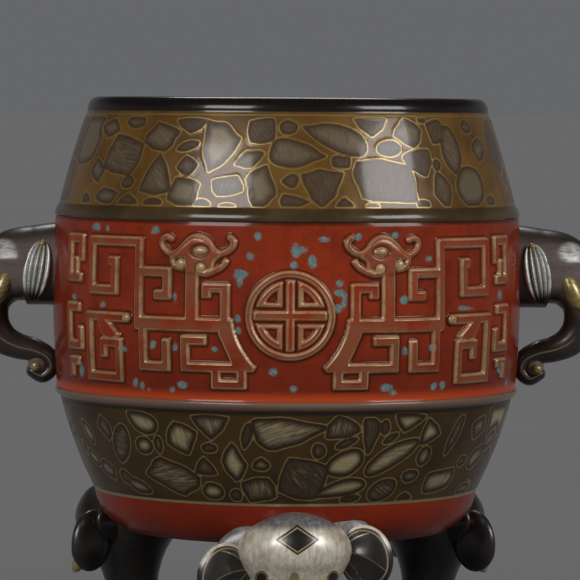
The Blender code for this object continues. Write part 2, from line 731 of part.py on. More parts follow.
def build_censer():
    bowl = bowl_solid()
    cavity = cavity_solid()
    added = []
    for angle in HANDLE_ANGLES:
        added += handle_forms(angle)
    for index, angle in enumerate(FOOT_ANGLES):
        added += foot_forms(angle + FOOT_TURN, FRONT_EAR_LIFT if index == 0 else 0.0)
    joined = combine(bowl, added, "UNION", "joined")
    censer = combine(joined, [cavity], "DIFFERENCE", "censer")
    tidy = bmesh.new()
    tidy.from_mesh(censer.data)
    bmesh.ops.dissolve_limit(tidy, angle_limit=FLAT_ANGLE, verts=tidy.verts, edges=tidy.edges)
    bmesh.ops.triangulate(tidy, faces=tidy.faces)
    tidy.to_mesh(censer.data)
    tidy.free()
    censer.data.shade_smooth()
    censer.data.set_sharp_from_angle(angle=math.radians(35.0))
    censer.data.materials.clear()
    censer.data.materials.append(make_glaze())
    return censer


clear_scene()
build_censer()
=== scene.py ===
"""Looks of the tripod incense burner.

The bowl is a painted and gilded porcelain: two bands of brushed pebbles with gold
outlines, a red panel of fret dragons in relief, and elephant heads for handles and feet.
Metres, +Z up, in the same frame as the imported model.
"""

import math

import bmesh
import bpy
import numpy as np
from mathutils import Matrix, Vector


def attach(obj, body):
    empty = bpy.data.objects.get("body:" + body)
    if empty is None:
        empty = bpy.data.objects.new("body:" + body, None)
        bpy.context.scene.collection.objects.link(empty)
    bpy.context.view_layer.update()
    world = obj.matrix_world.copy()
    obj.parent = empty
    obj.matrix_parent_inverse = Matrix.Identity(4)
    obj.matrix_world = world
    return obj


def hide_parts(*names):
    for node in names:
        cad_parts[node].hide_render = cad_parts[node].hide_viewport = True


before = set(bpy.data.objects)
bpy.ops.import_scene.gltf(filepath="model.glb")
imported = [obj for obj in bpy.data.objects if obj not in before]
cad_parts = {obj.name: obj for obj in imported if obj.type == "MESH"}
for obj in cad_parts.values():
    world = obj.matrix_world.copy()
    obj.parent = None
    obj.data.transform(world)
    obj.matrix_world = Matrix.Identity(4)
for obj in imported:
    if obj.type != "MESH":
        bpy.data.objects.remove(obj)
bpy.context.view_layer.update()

MM = 0.001

# Heights and radii of the bowl, as in the solid
RIM_HEIGHT = 0.1923
LIP_HEIGHT = 0.0045
UPPER_RIDGE_HEIGHT = 0.1532
LOWER_RIDGE_HEIGHT = 0.0902
BASE_LINE_HEIGHT = 0.0560
UNDERSIDE_HEIGHT = 0.0420
LIP_OUTER_RADIUS = 0.0699
LIP_FLAT_OUTER_RADIUS = 0.0662
UPPER_RIDGE_RADIUS = 0.0806
PANEL_RADIUS = 0.0816
LOWER_RIDGE_RADIUS = 0.0801
BASE_LINE_RADIUS = 0.0668
UNDERSIDE_RADIUS = 0.0575
RIDGE_HALF_HEIGHT = 0.0022
RIDGE_RISE = 0.0011
LOWER_RIDGE_HALF_HEIGHT = 0.0016
LOWER_RIDGE_RISE = 0.0012
PANEL_TOP_DROP = 0.0007
PANEL_BOTTOM_DROP = 0.0014
UPPER_BAND_BULGE = 0.0004
LOWER_BAND_BULGE = 0.0010
BASE_BULGE = 0.0022
WALL = 0.0046
MOUTH_WALL = 0.0078
FLOOR_THICKNESS = 0.0062
FLOOR_CORNER = 0.0120

# Camera: measured from the photograph, 580 pixels square
PICTURE = 580.0
FOCAL_PIXELS = 3775.0
CAMERA_DISTANCE = 1.320
CAMERA_HEIGHT = 0.1869
CAMERA_AZIMUTH = math.radians(-0.9)
CAMERA_ROLL = math.radians(0.4)
HORIZON_ROW = 113.5
AXIS_COLUMN = 286.7

# Relief of the red panel, in sixtieths of its height: across from the roundel, then up
PATTERN_UNITS = 60.0
OUTER_SPIRAL = (
    (69.0, 46.0), (65.6, 46.0), (65.6, 36.2), (77.6, 36.2), (77.6, 52.8), (54.6, 52.8), (54.6, 25.6))
BODY_BAR = ((56.4, 25.6), (20.5, 25.6))
NECK = ((33.7, 25.0), (33.7, 46.5))
NECK_HOOK = ((54.6, 43.0), (43.1, 43.0), (43.1, 35.3), (48.4, 35.3))
THROAT_FRET = ((22.0, 25.6), (22.0, 38.1), (28.5, 38.1), (28.5, 34.4))
BELLY_FRET = ((52.8, 25.6), (52.8, 11.2), (43.5, 11.2), (43.5, 20.8))
CHEST_FRET = ((28.3, 20.4), (36.3, 20.4), (36.3, 11.4), (14.5, 11.4))
CLAW = ((16.3, 11.4), (16.3, 5.8), (25.2, 5.8), (25.2, 11.4))
TAIL = ((58.6, 27.0), (79.2, 27.0), (79.2, 6.6), (63.6, 6.6), (63.6, 18.4), (71.4, 18.4), (71.4, 13.0))
UPPER_HOOK = ((84.6, 45.2), (84.6, 53.2), (92.8, 53.2), (92.8, 39.8), (84.2, 39.8))
HOOK_STUB = ((88.4, 39.8), (88.4, 47.0))
LOWER_HOOK = ((84.8, 29.6), (93.2, 29.6), (93.2, 16.6), (85.2, 16.6), (85.2, 23.4))
SIDE_CLAW = ((86.0, 11.0), (92.4, 11.0), (92.4, 5.4))
STRAPS = (OUTER_SPIRAL, NECK_HOOK, THROAT_FRET, BELLY_FRET, CHEST_FRET, CLAW, TAIL, UPPER_HOOK, HOOK_STUB,
          LOWER_HOOK, SIDE_CLAW)
BARS = (BODY_BAR, NECK)
STRAP_HALF_WIDTH = 1.78
BAR_HALF_WIDTH = 2.50
HEAD_BROW = ((20.5, 54.9), (19.2, 53.6), (19.7, 51.7), (21.8, 50.0), (24.2, 49.6), (26.4, 51.1), (28.2, 53.5),
             (30.8, 54.9), (33.6, 54.6), (36.1, 52.7), (38.6, 50.3), (41.2, 49.1), (43.9, 50.4), (45.2, 52.3),
             (44.9, 53.9), (43.2, 54.8), (41.6, 54.2))
HEAD_JAW = ((21.9, 46.8), (23.7, 44.8), (26.1, 43.5), (28.8, 42.7), (31.0, 43.3), (31.8, 44.8), (30.7, 46.3))
HEAD_SNOUT = ((41.0, 49.0), (41.0, 46.7), (39.7, 45.0), (37.4, 44.4))
HEAD_FACE = ((24.2, 50.2), (26.4, 51.9), (28.6, 54.0), (31.0, 54.9), (33.6, 54.4), (36.5, 52.2), (39.0, 50.0),
             (41.0, 48.8), (39.5, 47.4), (36.4, 47.8), (36.2, 45.5), (36.0, 42.0), (31.9, 42.0), (31.9, 44.6),
             (28.6, 43.4), (25.9, 44.6), (25.6, 46.6), (23.0, 48.6))
HEAD_HALF_WIDTH = 1.15
HEAD_SOCKET = ((30.7, 50.3), 3.2, 2.1)
HEAD_EYE = ((30.7, 50.3), 2.5, 1.45)
HEAD_HOLE = ((24.2, 46.7), 1.0, 0.8)
HEAD_BEADS = (((30.2, 44.6), 1.65), ((37.6, 45.9), 1.75), ((59.6, 27.0), 1.6))
CHEST_FLARE = ((12.4, 9.9), (20.0, 9.9), (20.2, 13.4), (24.4, 22.6), (24.4, 28.0))
CHEST_BOW = ((19.2, 28.0), (18.6, 19.0), (11.2, 11.6))
TAIL_BEAK = ((62.4, 21.0), (66.5, 19.2), (71.5, 20.0), (76.0, 27.6), (70.5, 27.4))
ROUNDEL_HEIGHT_SHARE = 0.4833

# Roundel, in millimetres: its ring, then the cross of bars and the quarters between them
ROUNDEL_RADIUS = 14.9
ROUNDEL_INNER_RADIUS = 12.5
ROUNDEL_BAR = (((-12.2, 0.0), (12.2, 0.0)), 1.65)
ROUNDEL_POST = (((0.0, 0.0), (0.0, 11.9)), 1.45)
QUARTER = (11.7, 2.55, 2.75)
QUARTER_HOLE = (9.2, 4.35, 4.35)

# Relief and unevenness, in millimetres
STRAP_RISE = 1.40
STRAP_DIP = 0.18
HEAD_RISE = 1.75
SOCKET_DEPTH = 1.05
BEAD_BASE = 0.9
BEAD_RISE = 1.0
PANEL_UNEVEN = 0.05
BAND_UNEVEN = 0.03
PANEL_FLARE = (0.30, 1.5)
PANEL_TUCK = (0.30, 1.8)
GROUND_RISE = 0.05
OUTLINE_RISE = 0.06
LIP_GROOVE = 0.22

# Pebbles packed where none is listed, in millimetres
PACKED_SIZES = (8.6, 6.6, 5.0, 3.6, 2.6)
PACKING_TRIES = 900
SEAM_BLEND = 0.75
SEAM_HALF_WIDTH = 1.05

# How finely the forms are meshed
PANEL_COLUMNS = 570
PANEL_ROWS = 136
BAND_COLUMNS = 820
BAND_SPACING = 0.00062
INSIDE_COLUMNS = 180
STATION_PIECES = 14
FAR = 50.0

# Pebbles seen in the photograph, in its pixels: column, row, half width, half height,
# tilt in degrees, corners (0 round, 1 drop, 2 leaf, 3 or 4 sided) and heading of the first corner
UPPER_PEBBLES = (
    (162, 137, 17, 14, 0, 4, 20), (192, 126, 15, 7, 0, 3, 270), (188, 146, 11, 4, 18, 2, 0),
    (222, 146, 18, 25, 0, 3, 250), (262, 131, 13, 12, 0, 4, 50), (289, 127.5, 8.5, 6.5, 0, 0, 0),
    (298, 154, 28, 14, -4, 1, 0), (187, 166, 10, 9.5, 0, 4, 10), (250, 159, 15, 8, 22, 4, 0),
    (157, 174, 15.5, 20, 0, 3, 90), (183, 192, 15, 14, 0, 4, 30), (227, 186, 15, 9, 0, 4, 60),
    (261, 187, 14.5, 21, 0, 4, 70), (290, 181, 8, 6.5, 0, 1, 180), (295, 202, 14.5, 7, 0, 3, 0),
    (323, 189, 21, 19, 0, 3, 270), (202, 205, 7, 5, 0, 0, 0), (227, 207, 8, 2.5, 0, 0, 0),
    (152, 203, 9, 4.5, 0, 0, 0), (128, 182, 6, 5.5, 0, 0, 0), (123, 155, 18, 20, 0, 4, 30),
    (106, 196, 11, 8, 0, 4, 20), (128, 201, 11, 7, 0, 3, 90), (137, 122, 9, 6, 0, 0, 0),
    (335, 137, 33, 13, -20, 1, 180), (371, 127, 16, 9, 0, 3, 270), (408, 133, 14, 14, 0, 4, 100),
    (389, 148.6, 11.5, 7, 0, 0, 0), (418, 163, 14, 13, 0, 3, 285), (436, 132, 9, 11.5, 0, 4, 60),
    (451, 150, 9.5, 24, 0, 2, 90), (387, 182, 33, 21, -14, 4, 150), (341, 162, 9, 5.5, 0, 4, 40),
    (443, 190, 9, 18, 6, 4, 100), (471, 187, 14, 20, -6, 0, 0), (345, 204, 9, 6, 0, 3, 90),
    (424, 205, 6, 4, 0, 0, 0), (373, 207, 6, 2.5, 0, 0, 0), (436.6, 165, 3.5, 5, 0, 0, 0),
    (421, 120, 4, 2.6, 0, 0, 0), (465, 127, 5, 6, 0, 0, 0), (478, 150, 7, 12, -10, 4, 90),
    (491, 202, 4, 6, 0, 0, 0), (98, 170, 7, 12, 14, 4, 90), (112, 128, 8, 8, 20, 4, 60),
    (86, 200, 4, 7, 10, 0, 0),
)
LOWER_PEBBLES = (
    (141, 423, 15, 10, -14, 1, 150), (121, 444, 8, 20, -16, 2, 90), (181, 439, 15, 16, 0, 4, 20),
    (210, 428, 18, 12, 0, 3, 270), (209, 448.5, 7, 4, 0, 0, 0), (205, 467, 10.5, 8.5, 0, 3, 90),
    (234, 463, 11.5, 19, 8, 4, 80), (246.5, 437, 4.5, 13, -14, 2, 90), (289, 435, 37, 16, 0, 3, 255),
    (261, 465, 8, 6, 0, 1, 90), (172, 477, 26, 15, -20, 4, 30), (213, 492, 10, 8, 0, 0, 0),
    (259, 491, 16.5, 12, 0, 4, 60), (303, 480, 24, 21, 0, 4, 120), (236, 496, 5, 5.5, 0, 0, 0),
    (139, 487, 12, 6, -24, 2, 0), (144, 446, 8, 8, 0, 0, 0), (158, 445, 3.5, 8, 0, 0, 0),
    (344, 428, 17, 11, 0, 3, 225), (347, 444, 11, 3.4, 24, 2, 0), (319, 452, 6, 7, 0, 0, 0),
    (345, 465, 19, 12, 26, 0, 0), (371, 437, 8, 18, 0, 3, 265), (385.5, 428, 4, 7, 0, 0, 0),
    (391, 439, 8, 3, 34, 2, 0), (392, 457, 29, 10, 34, 0, 0), (411, 423, 15, 9, 0, 3, 260),
    (432, 433, 9, 13, -10, 3, 240), (424, 457, 6, 9, -8, 0, 0), (410, 477, 7.5, 5.5, 0, 0, 0),
    (439, 481, 15, 11, 20, 4, 30), (338, 490, 27, 8, 12, 1, 190), (382, 491, 14, 10, 30, 0, 0),
    (404, 499, 8, 5.5, 0, 3, 90), (350, 500, 9, 3, 8, 0, 0), (455, 436, 4, 20, -14, 2, 90),
    (479, 428, 7, 11, -8, 4, 80), (476, 457, 6, 12, -20, 2, 90), (104, 428, 6, 12, 12, 4, 80),
    (108, 470, 7, 10, 24, 4, 90), (88, 432, 4, 12, 14, 2, 90), (462, 462, 3.5, 5, 0, 0, 0),
    (490, 440, 3.5, 9, -14, 2, 90), (463, 490, 6, 6, 20, 0, 0), (126, 478, 5, 7, 20, 2, 90),
    (94, 458, 4, 8, 16, 0, 0),
)
PEBBLE_VIEW_LIMIT = math.radians(67.0)

# Turquoise splashes on the red, in the photograph's pixels: column, row, half width, half height
SPLASHES = (
    (257.5, 237, 4, 4), (249.8, 256.5, 4, 4), (240, 275, 8, 5), (239.4, 281, 3.5, 6), (237.6, 319, 3.5, 3.5),
    (237.6, 330.5, 3.8, 3.8), (295.5, 251, 5, 7), (302, 250, 7, 3.5), (312.6, 262, 4.5, 6), (294, 265, 4, 4),
    (339.4, 283.5, 4, 4), (339, 293, 6, 4), (344.5, 300, 3, 8), (337, 309, 4.5, 4.5),
    (273.5, 372.6, 4.5, 4.5), (324.7, 239.8, 5, 3), (358.8, 237, 3.6, 4), (396, 235.7, 3.4, 3.4),
    (429.8, 259, 3.6, 3.6),
    (404, 300.7, 4.6, 5), (465, 308.7, 7, 2.6), (500, 295, 2.5, 5), (518, 294, 2, 5), (406, 351.5, 3, 4),
    (432, 347.5, 2.5, 4), (435.8, 387, 3.5, 4.5), (445, 386, 2.8, 4.5), (388, 388, 7, 4), (395, 393, 4, 3),
    (501, 368, 2.4, 6), (510, 383, 2, 4), (95, 227, 5, 4), (106, 228, 2, 3), (155, 230, 5, 4),
    (175, 298, 2, 6), (152, 345, 3.5, 4), (175, 347.4, 3, 4.5), (213.8, 349.6, 3, 3), (79, 370, 2.5, 8),
    (123, 349, 3, 3), (102, 305, 3.5, 3), (74, 297, 2.5, 3), (133.5, 382.6, 3, 5), (139.6, 385, 2.5, 4),
    (146.5, 390, 2, 3), (170.2, 390.2, 3, 3.5), (181, 385.6, 5, 4), (293.4, 389.5, 4, 3.5),
)


def panel_bottom():
    return LOWER_RIDGE_HEIGHT + LOWER_RIDGE_HALF_HEIGHT


def panel_top():
    return UPPER_RIDGE_HEIGHT - RIDGE_HALF_HEIGHT


def panel_radius(height):
    """Radius of the red panel's ground: fullest at its middle."""
    middle = 0.5 * (panel_top() + panel_bottom())
    share = (height - middle) / (0.5 * (panel_top() - panel_bottom()))
    drop = np.where(share > 0.0, PANEL_TOP_DROP, PANEL_BOTTOM_DROP)
    return PANEL_RADIUS - drop * np.abs(share) ** 1.6


def smooth(value, low, high):
    """Smooth step from 0 at low to 1 at high."""
    share = np.clip((value - low) / (high - low), 0.0, 1.0)
    return share * share * (3.0 - 2.0 * share)


def bump(value, low, high, soft):
    """1 between low and high, falling softly to 0 outside."""
    return smooth(value, low - soft, low) * (1.0 - smooth(value, high, high + soft))


def wavy(x, y, seed, waves=9):
    """Smooth random surface between about -1 and 1 from a sum of seeded waves."""
    source = np.random.default_rng(seed)
    total = np.zeros(np.broadcast(x, y).shape)
    for _ in range(waves):
        heading = source.uniform(0.0, 2.0 * math.pi)
        pace = source.uniform(0.6, 1.6)
        phase = source.uniform(0.0, 2.0 * math.pi)
        total += np.sin(pace * (x * math.cos(heading) + y * math.sin(heading)) + phase)
    return total / math.sqrt(2.0 * waves)


def spun_plane(x, y, turn):
    """Coordinates turned about the origin."""
    return x * np.cos(turn) - y * np.sin(turn), x * np.sin(turn) + y * np.cos(turn)


# Meshes

def grid_object(name, points, closed, fields=None):
    """Object from a grid of points (rows, columns, xyz) with float fields on its vertices."""
    rows, columns = points.shape[:2]
    index = np.arange(rows * columns).reshape(rows, columns)
    after = np.roll(index, -1, axis=1)
    if not closed:
        index = index[:, :-1]
        after = after[:, :-1]
    quads = np.stack((index[:-1], after[:-1], after[1:], index[1:]), axis=-1).reshape(-1, 4)
    mesh = bpy.data.meshes.new(name)
    mesh.vertices.add(rows * columns)
    mesh.vertices.foreach_set("co", points.astype(np.float32).ravel())
    mesh.loops.add(quads.size)
    mesh.loops.foreach_set("vertex_index", quads.astype(np.int32).ravel())
    mesh.polygons.add(len(quads))
    mesh.polygons.foreach_set("loop_start", np.arange(0, quads.size, 4, dtype=np.int32))
    mesh.update(calc_edges=True)
    mesh.shade_smooth()
    for label, values in (fields or {}).items():
        if values.ndim == 3:
            layer = mesh.attributes.new(label, "FLOAT_VECTOR", "POINT")
            layer.data.foreach_set("vector", values.astype(np.float32).ravel())
        else:
            layer = mesh.attributes.new(label, "FLOAT", "POINT")
            layer.data.foreach_set("value", values.astype(np.float32).ravel())
    item = bpy.data.objects.new(name, mesh)
    bpy.context.scene.collection.objects.link(item)
    return item


def joined(name, items):
    """One object from several, keeping their vertex fields."""
    first = items[0]
    with bpy.context.temp_override(active_object=first, selected_editable_objects=items):
        bpy.ops.object.join()
    first.name = name
    first.data.name = name
    return first


def resample(profile, spacing):
    """Points along a profile at an even spacing, keeping its ends."""
    line = np.array(profile, float)
    lengths = np.concatenate(([0.0], np.cumsum(np.linalg.norm(np.diff(line, axis=0), axis=1))))
    count = max(2, int(round(lengths[-1] / spacing)) + 1)
    places = np.linspace(0.0, lengths[-1], count)
    return np.stack([np.interp(places, lengths, line[:, axis]) for axis in (0, 1)], axis=-1)


def profile_normals(profile):
    along = np.gradient(profile, axis=0)
    normals = np.stack((along[:, 1], -along[:, 0]), axis=-1)
    return normals / np.linalg.norm(normals, axis=1)[:, None]


def turned(profile, angles, push):
    """Grid of points from a profile turned about Z and pushed out along its normals."""
    normals = profile_normals(profile)
    radius = profile[:, 0][:, None] + normals[:, 0][:, None] * push
    height = profile[:, 1][:, None] + normals[:, 1][:, None] * push
    return np.stack((
        radius * np.sin(angles)[None, :], -radius * np.cos(angles)[None, :],
        np.broadcast_to(height, radius.shape)), axis=-1)


def bowed(start, end, bulge, pieces):
    """Points from start to end along a shallow outward bow, start left out."""
    start = np.array(start, float)
    end = np.array(end, float)
    along = end - start
    outward = np.array((along[1], -along[0])) / np.linalg.norm(along)
    return [
        tuple(start + along * share + outward * bulge * 4.0 * share * (1.0 - share))
        for share in np.linspace(0.0, 1.0, pieces + 1)[1:]]


def round_ridge(below, above, rise, pieces):
    """Half-round moulding between two surface points, its crest standing out by rise."""
    below = np.array(below, float)
    above = np.array(above, float)
    points = []
    for share in np.linspace(0.0, 1.0, pieces + 1):
        place = below + (above - below) * share
        swell = rise * math.sin(math.pi * share) ** 0.62
        points.append((place[0] + swell, place[1]))
    return points


# Distances, in millimetres, positive inside a form

def strap_inside(x, y, path, half_width, round_off=0.70):
    """Inside distance of a square-cornered strap along a path of straight runs."""
    best = np.full(x.shape, -FAR)
    last = len(path) - 2
    for index in range(last + 1):
        start = np.array(path[index], float)
        end = np.array(path[index + 1], float)
        length = np.linalg.norm(end - start)
        way = (end - start) / length
        before = half_width if index > 0 else 0.0
        beyond = half_width if index < last else 0.0
        along = (x - start[0]) * way[0] + (y - start[1]) * way[1]
        across = -(x - start[0]) * way[1] + (y - start[1]) * way[0]
        middle = 0.5 * (length + beyond - before)
        half_length = 0.5 * (length + beyond + before)
        outside_x = np.abs(along - middle) - half_length + round_off
        outside_y = np.abs(across) - half_width + round_off
        outer = np.hypot(np.maximum(outside_x, 0.0), np.maximum(outside_y, 0.0))
        inner = np.minimum(np.maximum(outside_x, outside_y), 0.0)
        best = np.maximum(best, round_off - outer - inner)
    return best


def line_distance(x, y, path):
    """Distance to a line of straight runs."""
    best = np.full(x.shape, FAR)
    for start, end in zip(path, path[1:]):
        dx = end[0] - start[0]
        dy = end[1] - start[1]
        share = np.clip(((x - start[0]) * dx + (y - start[1]) * dy) / (dx * dx + dy * dy), 0.0, 1.0)
        best = np.minimum(best, np.hypot(x - start[0] - share * dx, y - start[1] - share * dy))
    return best


def polygon_inside(x, y, outline):
    """Inside distance of a closed outline."""
    closed = list(outline) + [outline[0]]
    inside = np.zeros(x.shape, bool)
    for start, end in zip(closed, closed[1:]):
        crosses = (start[1] > y) != (end[1] > y)
        rise = end[1] - start[1]
        where = start[0] + (y - start[1]) * (end[0] - start[0]) / (rise if abs(rise) > 1e-9 else 1e-9)
        inside ^= crosses & (x < where)
    distance = line_distance(x, y, closed)
    return np.where(inside, distance, -distance)


def curve_points(start, pull, end, pieces):
    share = np.linspace(0.0, 1.0, pieces + 1)
    rest = 1.0 - share
    return [
        (a * a * start[0] + 2.0 * a * b * pull[0] + b * b * end[0],
         a * a * start[1] + 2.0 * a * b * pull[1] + b * b * end[1]) for a, b in zip(rest, share)]


# Red panel

def panel_fields(x, y):
    """Relief height and painted edges of one half of the panel; x and y in pattern units."""
    unit = (panel_top() - panel_bottom()) / PATTERN_UNITS / MM
    side = np.abs(x)
    straps = np.full(x.shape, -FAR)
    for path in STRAPS:
        straps = np.maximum(straps, strap_inside(side, y, path, STRAP_HALF_WIDTH))
    for path in BARS:
        straps = np.maximum(straps, strap_inside(side, y, path, BAR_HALF_WIDTH))
    for outline in (curve_points(*CHEST_BOW, 10) + list(CHEST_FLARE), TAIL_BEAK):
        straps = np.maximum(straps, polygon_inside(side, y, outline))
    head = polygon_inside(side, y, HEAD_FACE)
    for path in (HEAD_BROW, HEAD_JAW, HEAD_SNOUT):
        head = np.maximum(head, HEAD_HALF_WIDTH - line_distance(side, y, smooth_stations(path, 5)))
    beads = np.full(x.shape, -FAR)
    for place, radius in HEAD_BEADS:
        beads = np.maximum(beads, radius - np.hypot(side - place[0], y - place[1]))
    beads = np.maximum(beads, oval_inside(side, y, HEAD_EYE))
    pierced = oval_inside(side, y, HEAD_HOLE) * unit
    ring, bars = roundel_fields(x * unit, (y - ROUNDEL_HEIGHT_SHARE * PATTERN_UNITS) * unit)
    straps = np.maximum(straps * unit, np.maximum(ring, bars))
    head = head * unit
    beads = beads * unit
    hollow = np.maximum(oval_inside(side, y, HEAD_SOCKET) * unit, pierced)
    height = STRAP_RISE * pillow(straps, 1.2) - STRAP_DIP * smooth(straps, 1.0, 1.6)
    height = np.maximum(height, HEAD_RISE * pillow(head, 1.35)) - SOCKET_DEPTH * smooth(hollow, -0.45, 0.45)
    height = np.maximum(height, BEAD_BASE * smooth(beads, -0.3, 0.2) + BEAD_RISE * pillow(beads, 1.3))
    straps = np.maximum(straps, np.minimum(head, -pierced))
    return height, straps, beads


def oval_inside(x, y, oval):
    """Inside distance of an upright oval given as its centre, half width and half height."""
    place, half_width, half_height = oval
    return (1.0 - np.hypot((x - place[0]) / half_width, (y - place[1]) / half_height)) * half_height


def pillow(inside, reach):
    """Rounded shoulder rising from a form's edge to its full height at reach."""
    share = np.clip(inside / reach, 0.0, 1.0)
    return np.sqrt(1.0 - (1.0 - share) ** 2)


def roundel_fields(x, y):
    """Inside distances of the roundel's ring and of the fret in it, in millimetres."""
    radius = np.hypot(x, y)
    ring = np.minimum(ROUNDEL_RADIUS - radius, radius - ROUNDEL_INNER_RADIUS)
    side = np.abs(x)
    up = np.abs(y)
    cross = np.maximum(strap_inside(x, y, *ROUNDEL_BAR), strap_inside(x, up, *ROUNDEL_POST))
    quarter, hole = (
        np.minimum(np.minimum(reach - radius, side - inner), up - lower)
        for reach, inner, lower in (QUARTER, QUARTER_HOLE))
    return ring, np.maximum(cross, np.minimum(quarter, -hole))


def photo_place(column, row, radius):
    """Angle from the front and height of a point of the photograph on a round body."""
    roll_x = column - 0.5 * PICTURE
    roll_y = row - 0.5 * PICTURE
    across = roll_x * math.cos(CAMERA_ROLL) + roll_y * math.sin(CAMERA_ROLL)
    down = roll_y * math.cos(CAMERA_ROLL) - roll_x * math.sin(CAMERA_ROLL)
    offset = across + 0.5 * PICTURE - AXIS_COLUMN
    scale = FOCAL_PIXELS / CAMERA_DISTANCE
    angle = 0.0
    near = 1.0
    for _ in range(12):
        near = 1.0 - radius / CAMERA_DISTANCE * math.cos(angle)
        angle = math.asin(max(-1.0, min(1.0, offset * near / (scale * radius))))
    height = CAMERA_HEIGHT - (down + 0.5 * PICTURE - HORIZON_ROW) * near / scale
    return angle + CAMERA_AZIMUTH, height, near


def splash_field(x, y, radius, seed, behind):
    """Inside distance of the turquoise splashes on a zone, in millimetres."""
    best = np.full(x.shape, -FAR)
    source = np.random.default_rng(seed)
    spots = []
    for column, row, half_width, half_height in SPLASHES:
        angle, height, near = photo_place(column, row, radius)
        to_mm = near * CAMERA_DISTANCE / FOCAL_PIXELS / MM
        narrowed = max(0.35, math.cos(angle))
        spots.append((angle * radius / MM, height / MM, half_width * to_mm / narrowed, half_height * to_mm))
    for _ in range(behind):
        angle = source.uniform(math.radians(80.0), math.radians(280.0))
        if angle > math.pi:
            angle -= 2.0 * math.pi
        height = source.uniform(y.min(), y.max())
        spots.append((angle * radius / MM, height, source.uniform(0.8, 2.6), source.uniform(0.8, 2.4)))
    ripple = 0.28 * wavy(x * 1.3, y * 1.3, seed + 5)
    for centre_x, centre_y, half_width, half_height in spots:
        inside = 1.0 - np.hypot((x - centre_x) / half_width, (y - centre_y) / half_height)
        best = np.maximum(best, inside * min(half_width, half_height))
    return best + ripple


def make_panel(name, centre):
    angles = np.linspace(-0.5 * math.pi, 0.5 * math.pi, PANEL_COLUMNS)
    heights = np.linspace(panel_bottom(), panel_top(), PANEL_ROWS)
    unit = (panel_top() - panel_bottom()) / PATTERN_UNITS
    across, up = np.meshgrid(angles * PANEL_RADIUS / unit, (heights - panel_bottom()) / unit)
    raised, straps, beads = panel_fields(across, up)
    uneven = PANEL_UNEVEN * wavy(across * 0.22, up * 0.22, 11)
    flared, tucked = (
        depth * (1.0 - np.clip(np.abs(heights - end)[:, None] / MM / reach, 0.0, 1.0)) ** 2
        for end, (depth, reach) in ((panel_bottom(), PANEL_FLARE), (panel_top(), PANEL_TUCK)))
    lift = (raised + uneven + flared - tucked) * MM
    turn = angles + centre
    x_mm = np.where(turn > math.pi, turn - 2.0 * math.pi, turn) * PANEL_RADIUS / MM
    place_x, place_y = np.meshgrid(x_mm, heights / MM)
    splash = splash_field(place_x, place_y, PANEL_RADIUS, 21, 46)
    profile = np.stack((panel_radius(heights), heights), axis=-1)
    points = turned(profile, turn, lift)
    item = grid_object(name, points, False, {"strap": straps, "bead": beads, "splash": splash})
    item.data.materials.append(panel_material)
    return item


# Pebble bands

def pebble_outline(half_width, half_height, tilt, corners, heading, seed):
    """Closed outline of one pebble in millimetres about its centre."""
    source = np.random.default_rng(seed)
    angles = np.linspace(0.0, 2.0 * math.pi, 36, endpoint=False)
    turn = math.radians(heading)
    if corners == 1:
        tall = np.sin(angles) * np.abs(np.sin(0.5 * angles)) ** 0.8
        shape = np.stack(spun_plane(np.cos(angles), tall, turn))
    elif corners == 2:
        tall = np.sign(np.sin(angles)) * np.abs(np.sin(angles)) ** 1.35
        shape = np.stack(spun_plane(np.cos(angles), tall, turn))
    elif corners > 2:
        sector = 2.0 * math.pi / corners
        inside = np.mod(angles - turn, sector) - 0.5 * sector
        radius = math.cos(0.5 * sector) / np.cos(inside)
        radius = 0.62 * radius + 0.38 * (1.0 + math.cos(0.5 * sector)) * 0.5
        shape = np.stack((radius * np.cos(angles), radius * np.sin(angles)))
    else:
        shape = np.stack((np.cos(angles), np.sin(angles)))
    wobble = np.ones(angles.shape)
    for wave in (2, 3, 5):
        wobble += source.uniform(-0.045, 0.045) * np.cos(wave * angles + source.uniform(0.0, 6.28))
    shape = shape * wobble
    low = shape.min(axis=1)[:, None]
    high = shape.max(axis=1)[:, None]
    shape = (shape - 0.5 * (low + high)) / (0.5 * (high - low))
    return spun_plane(shape[0] * half_width, shape[1] * half_height, math.radians(tilt))


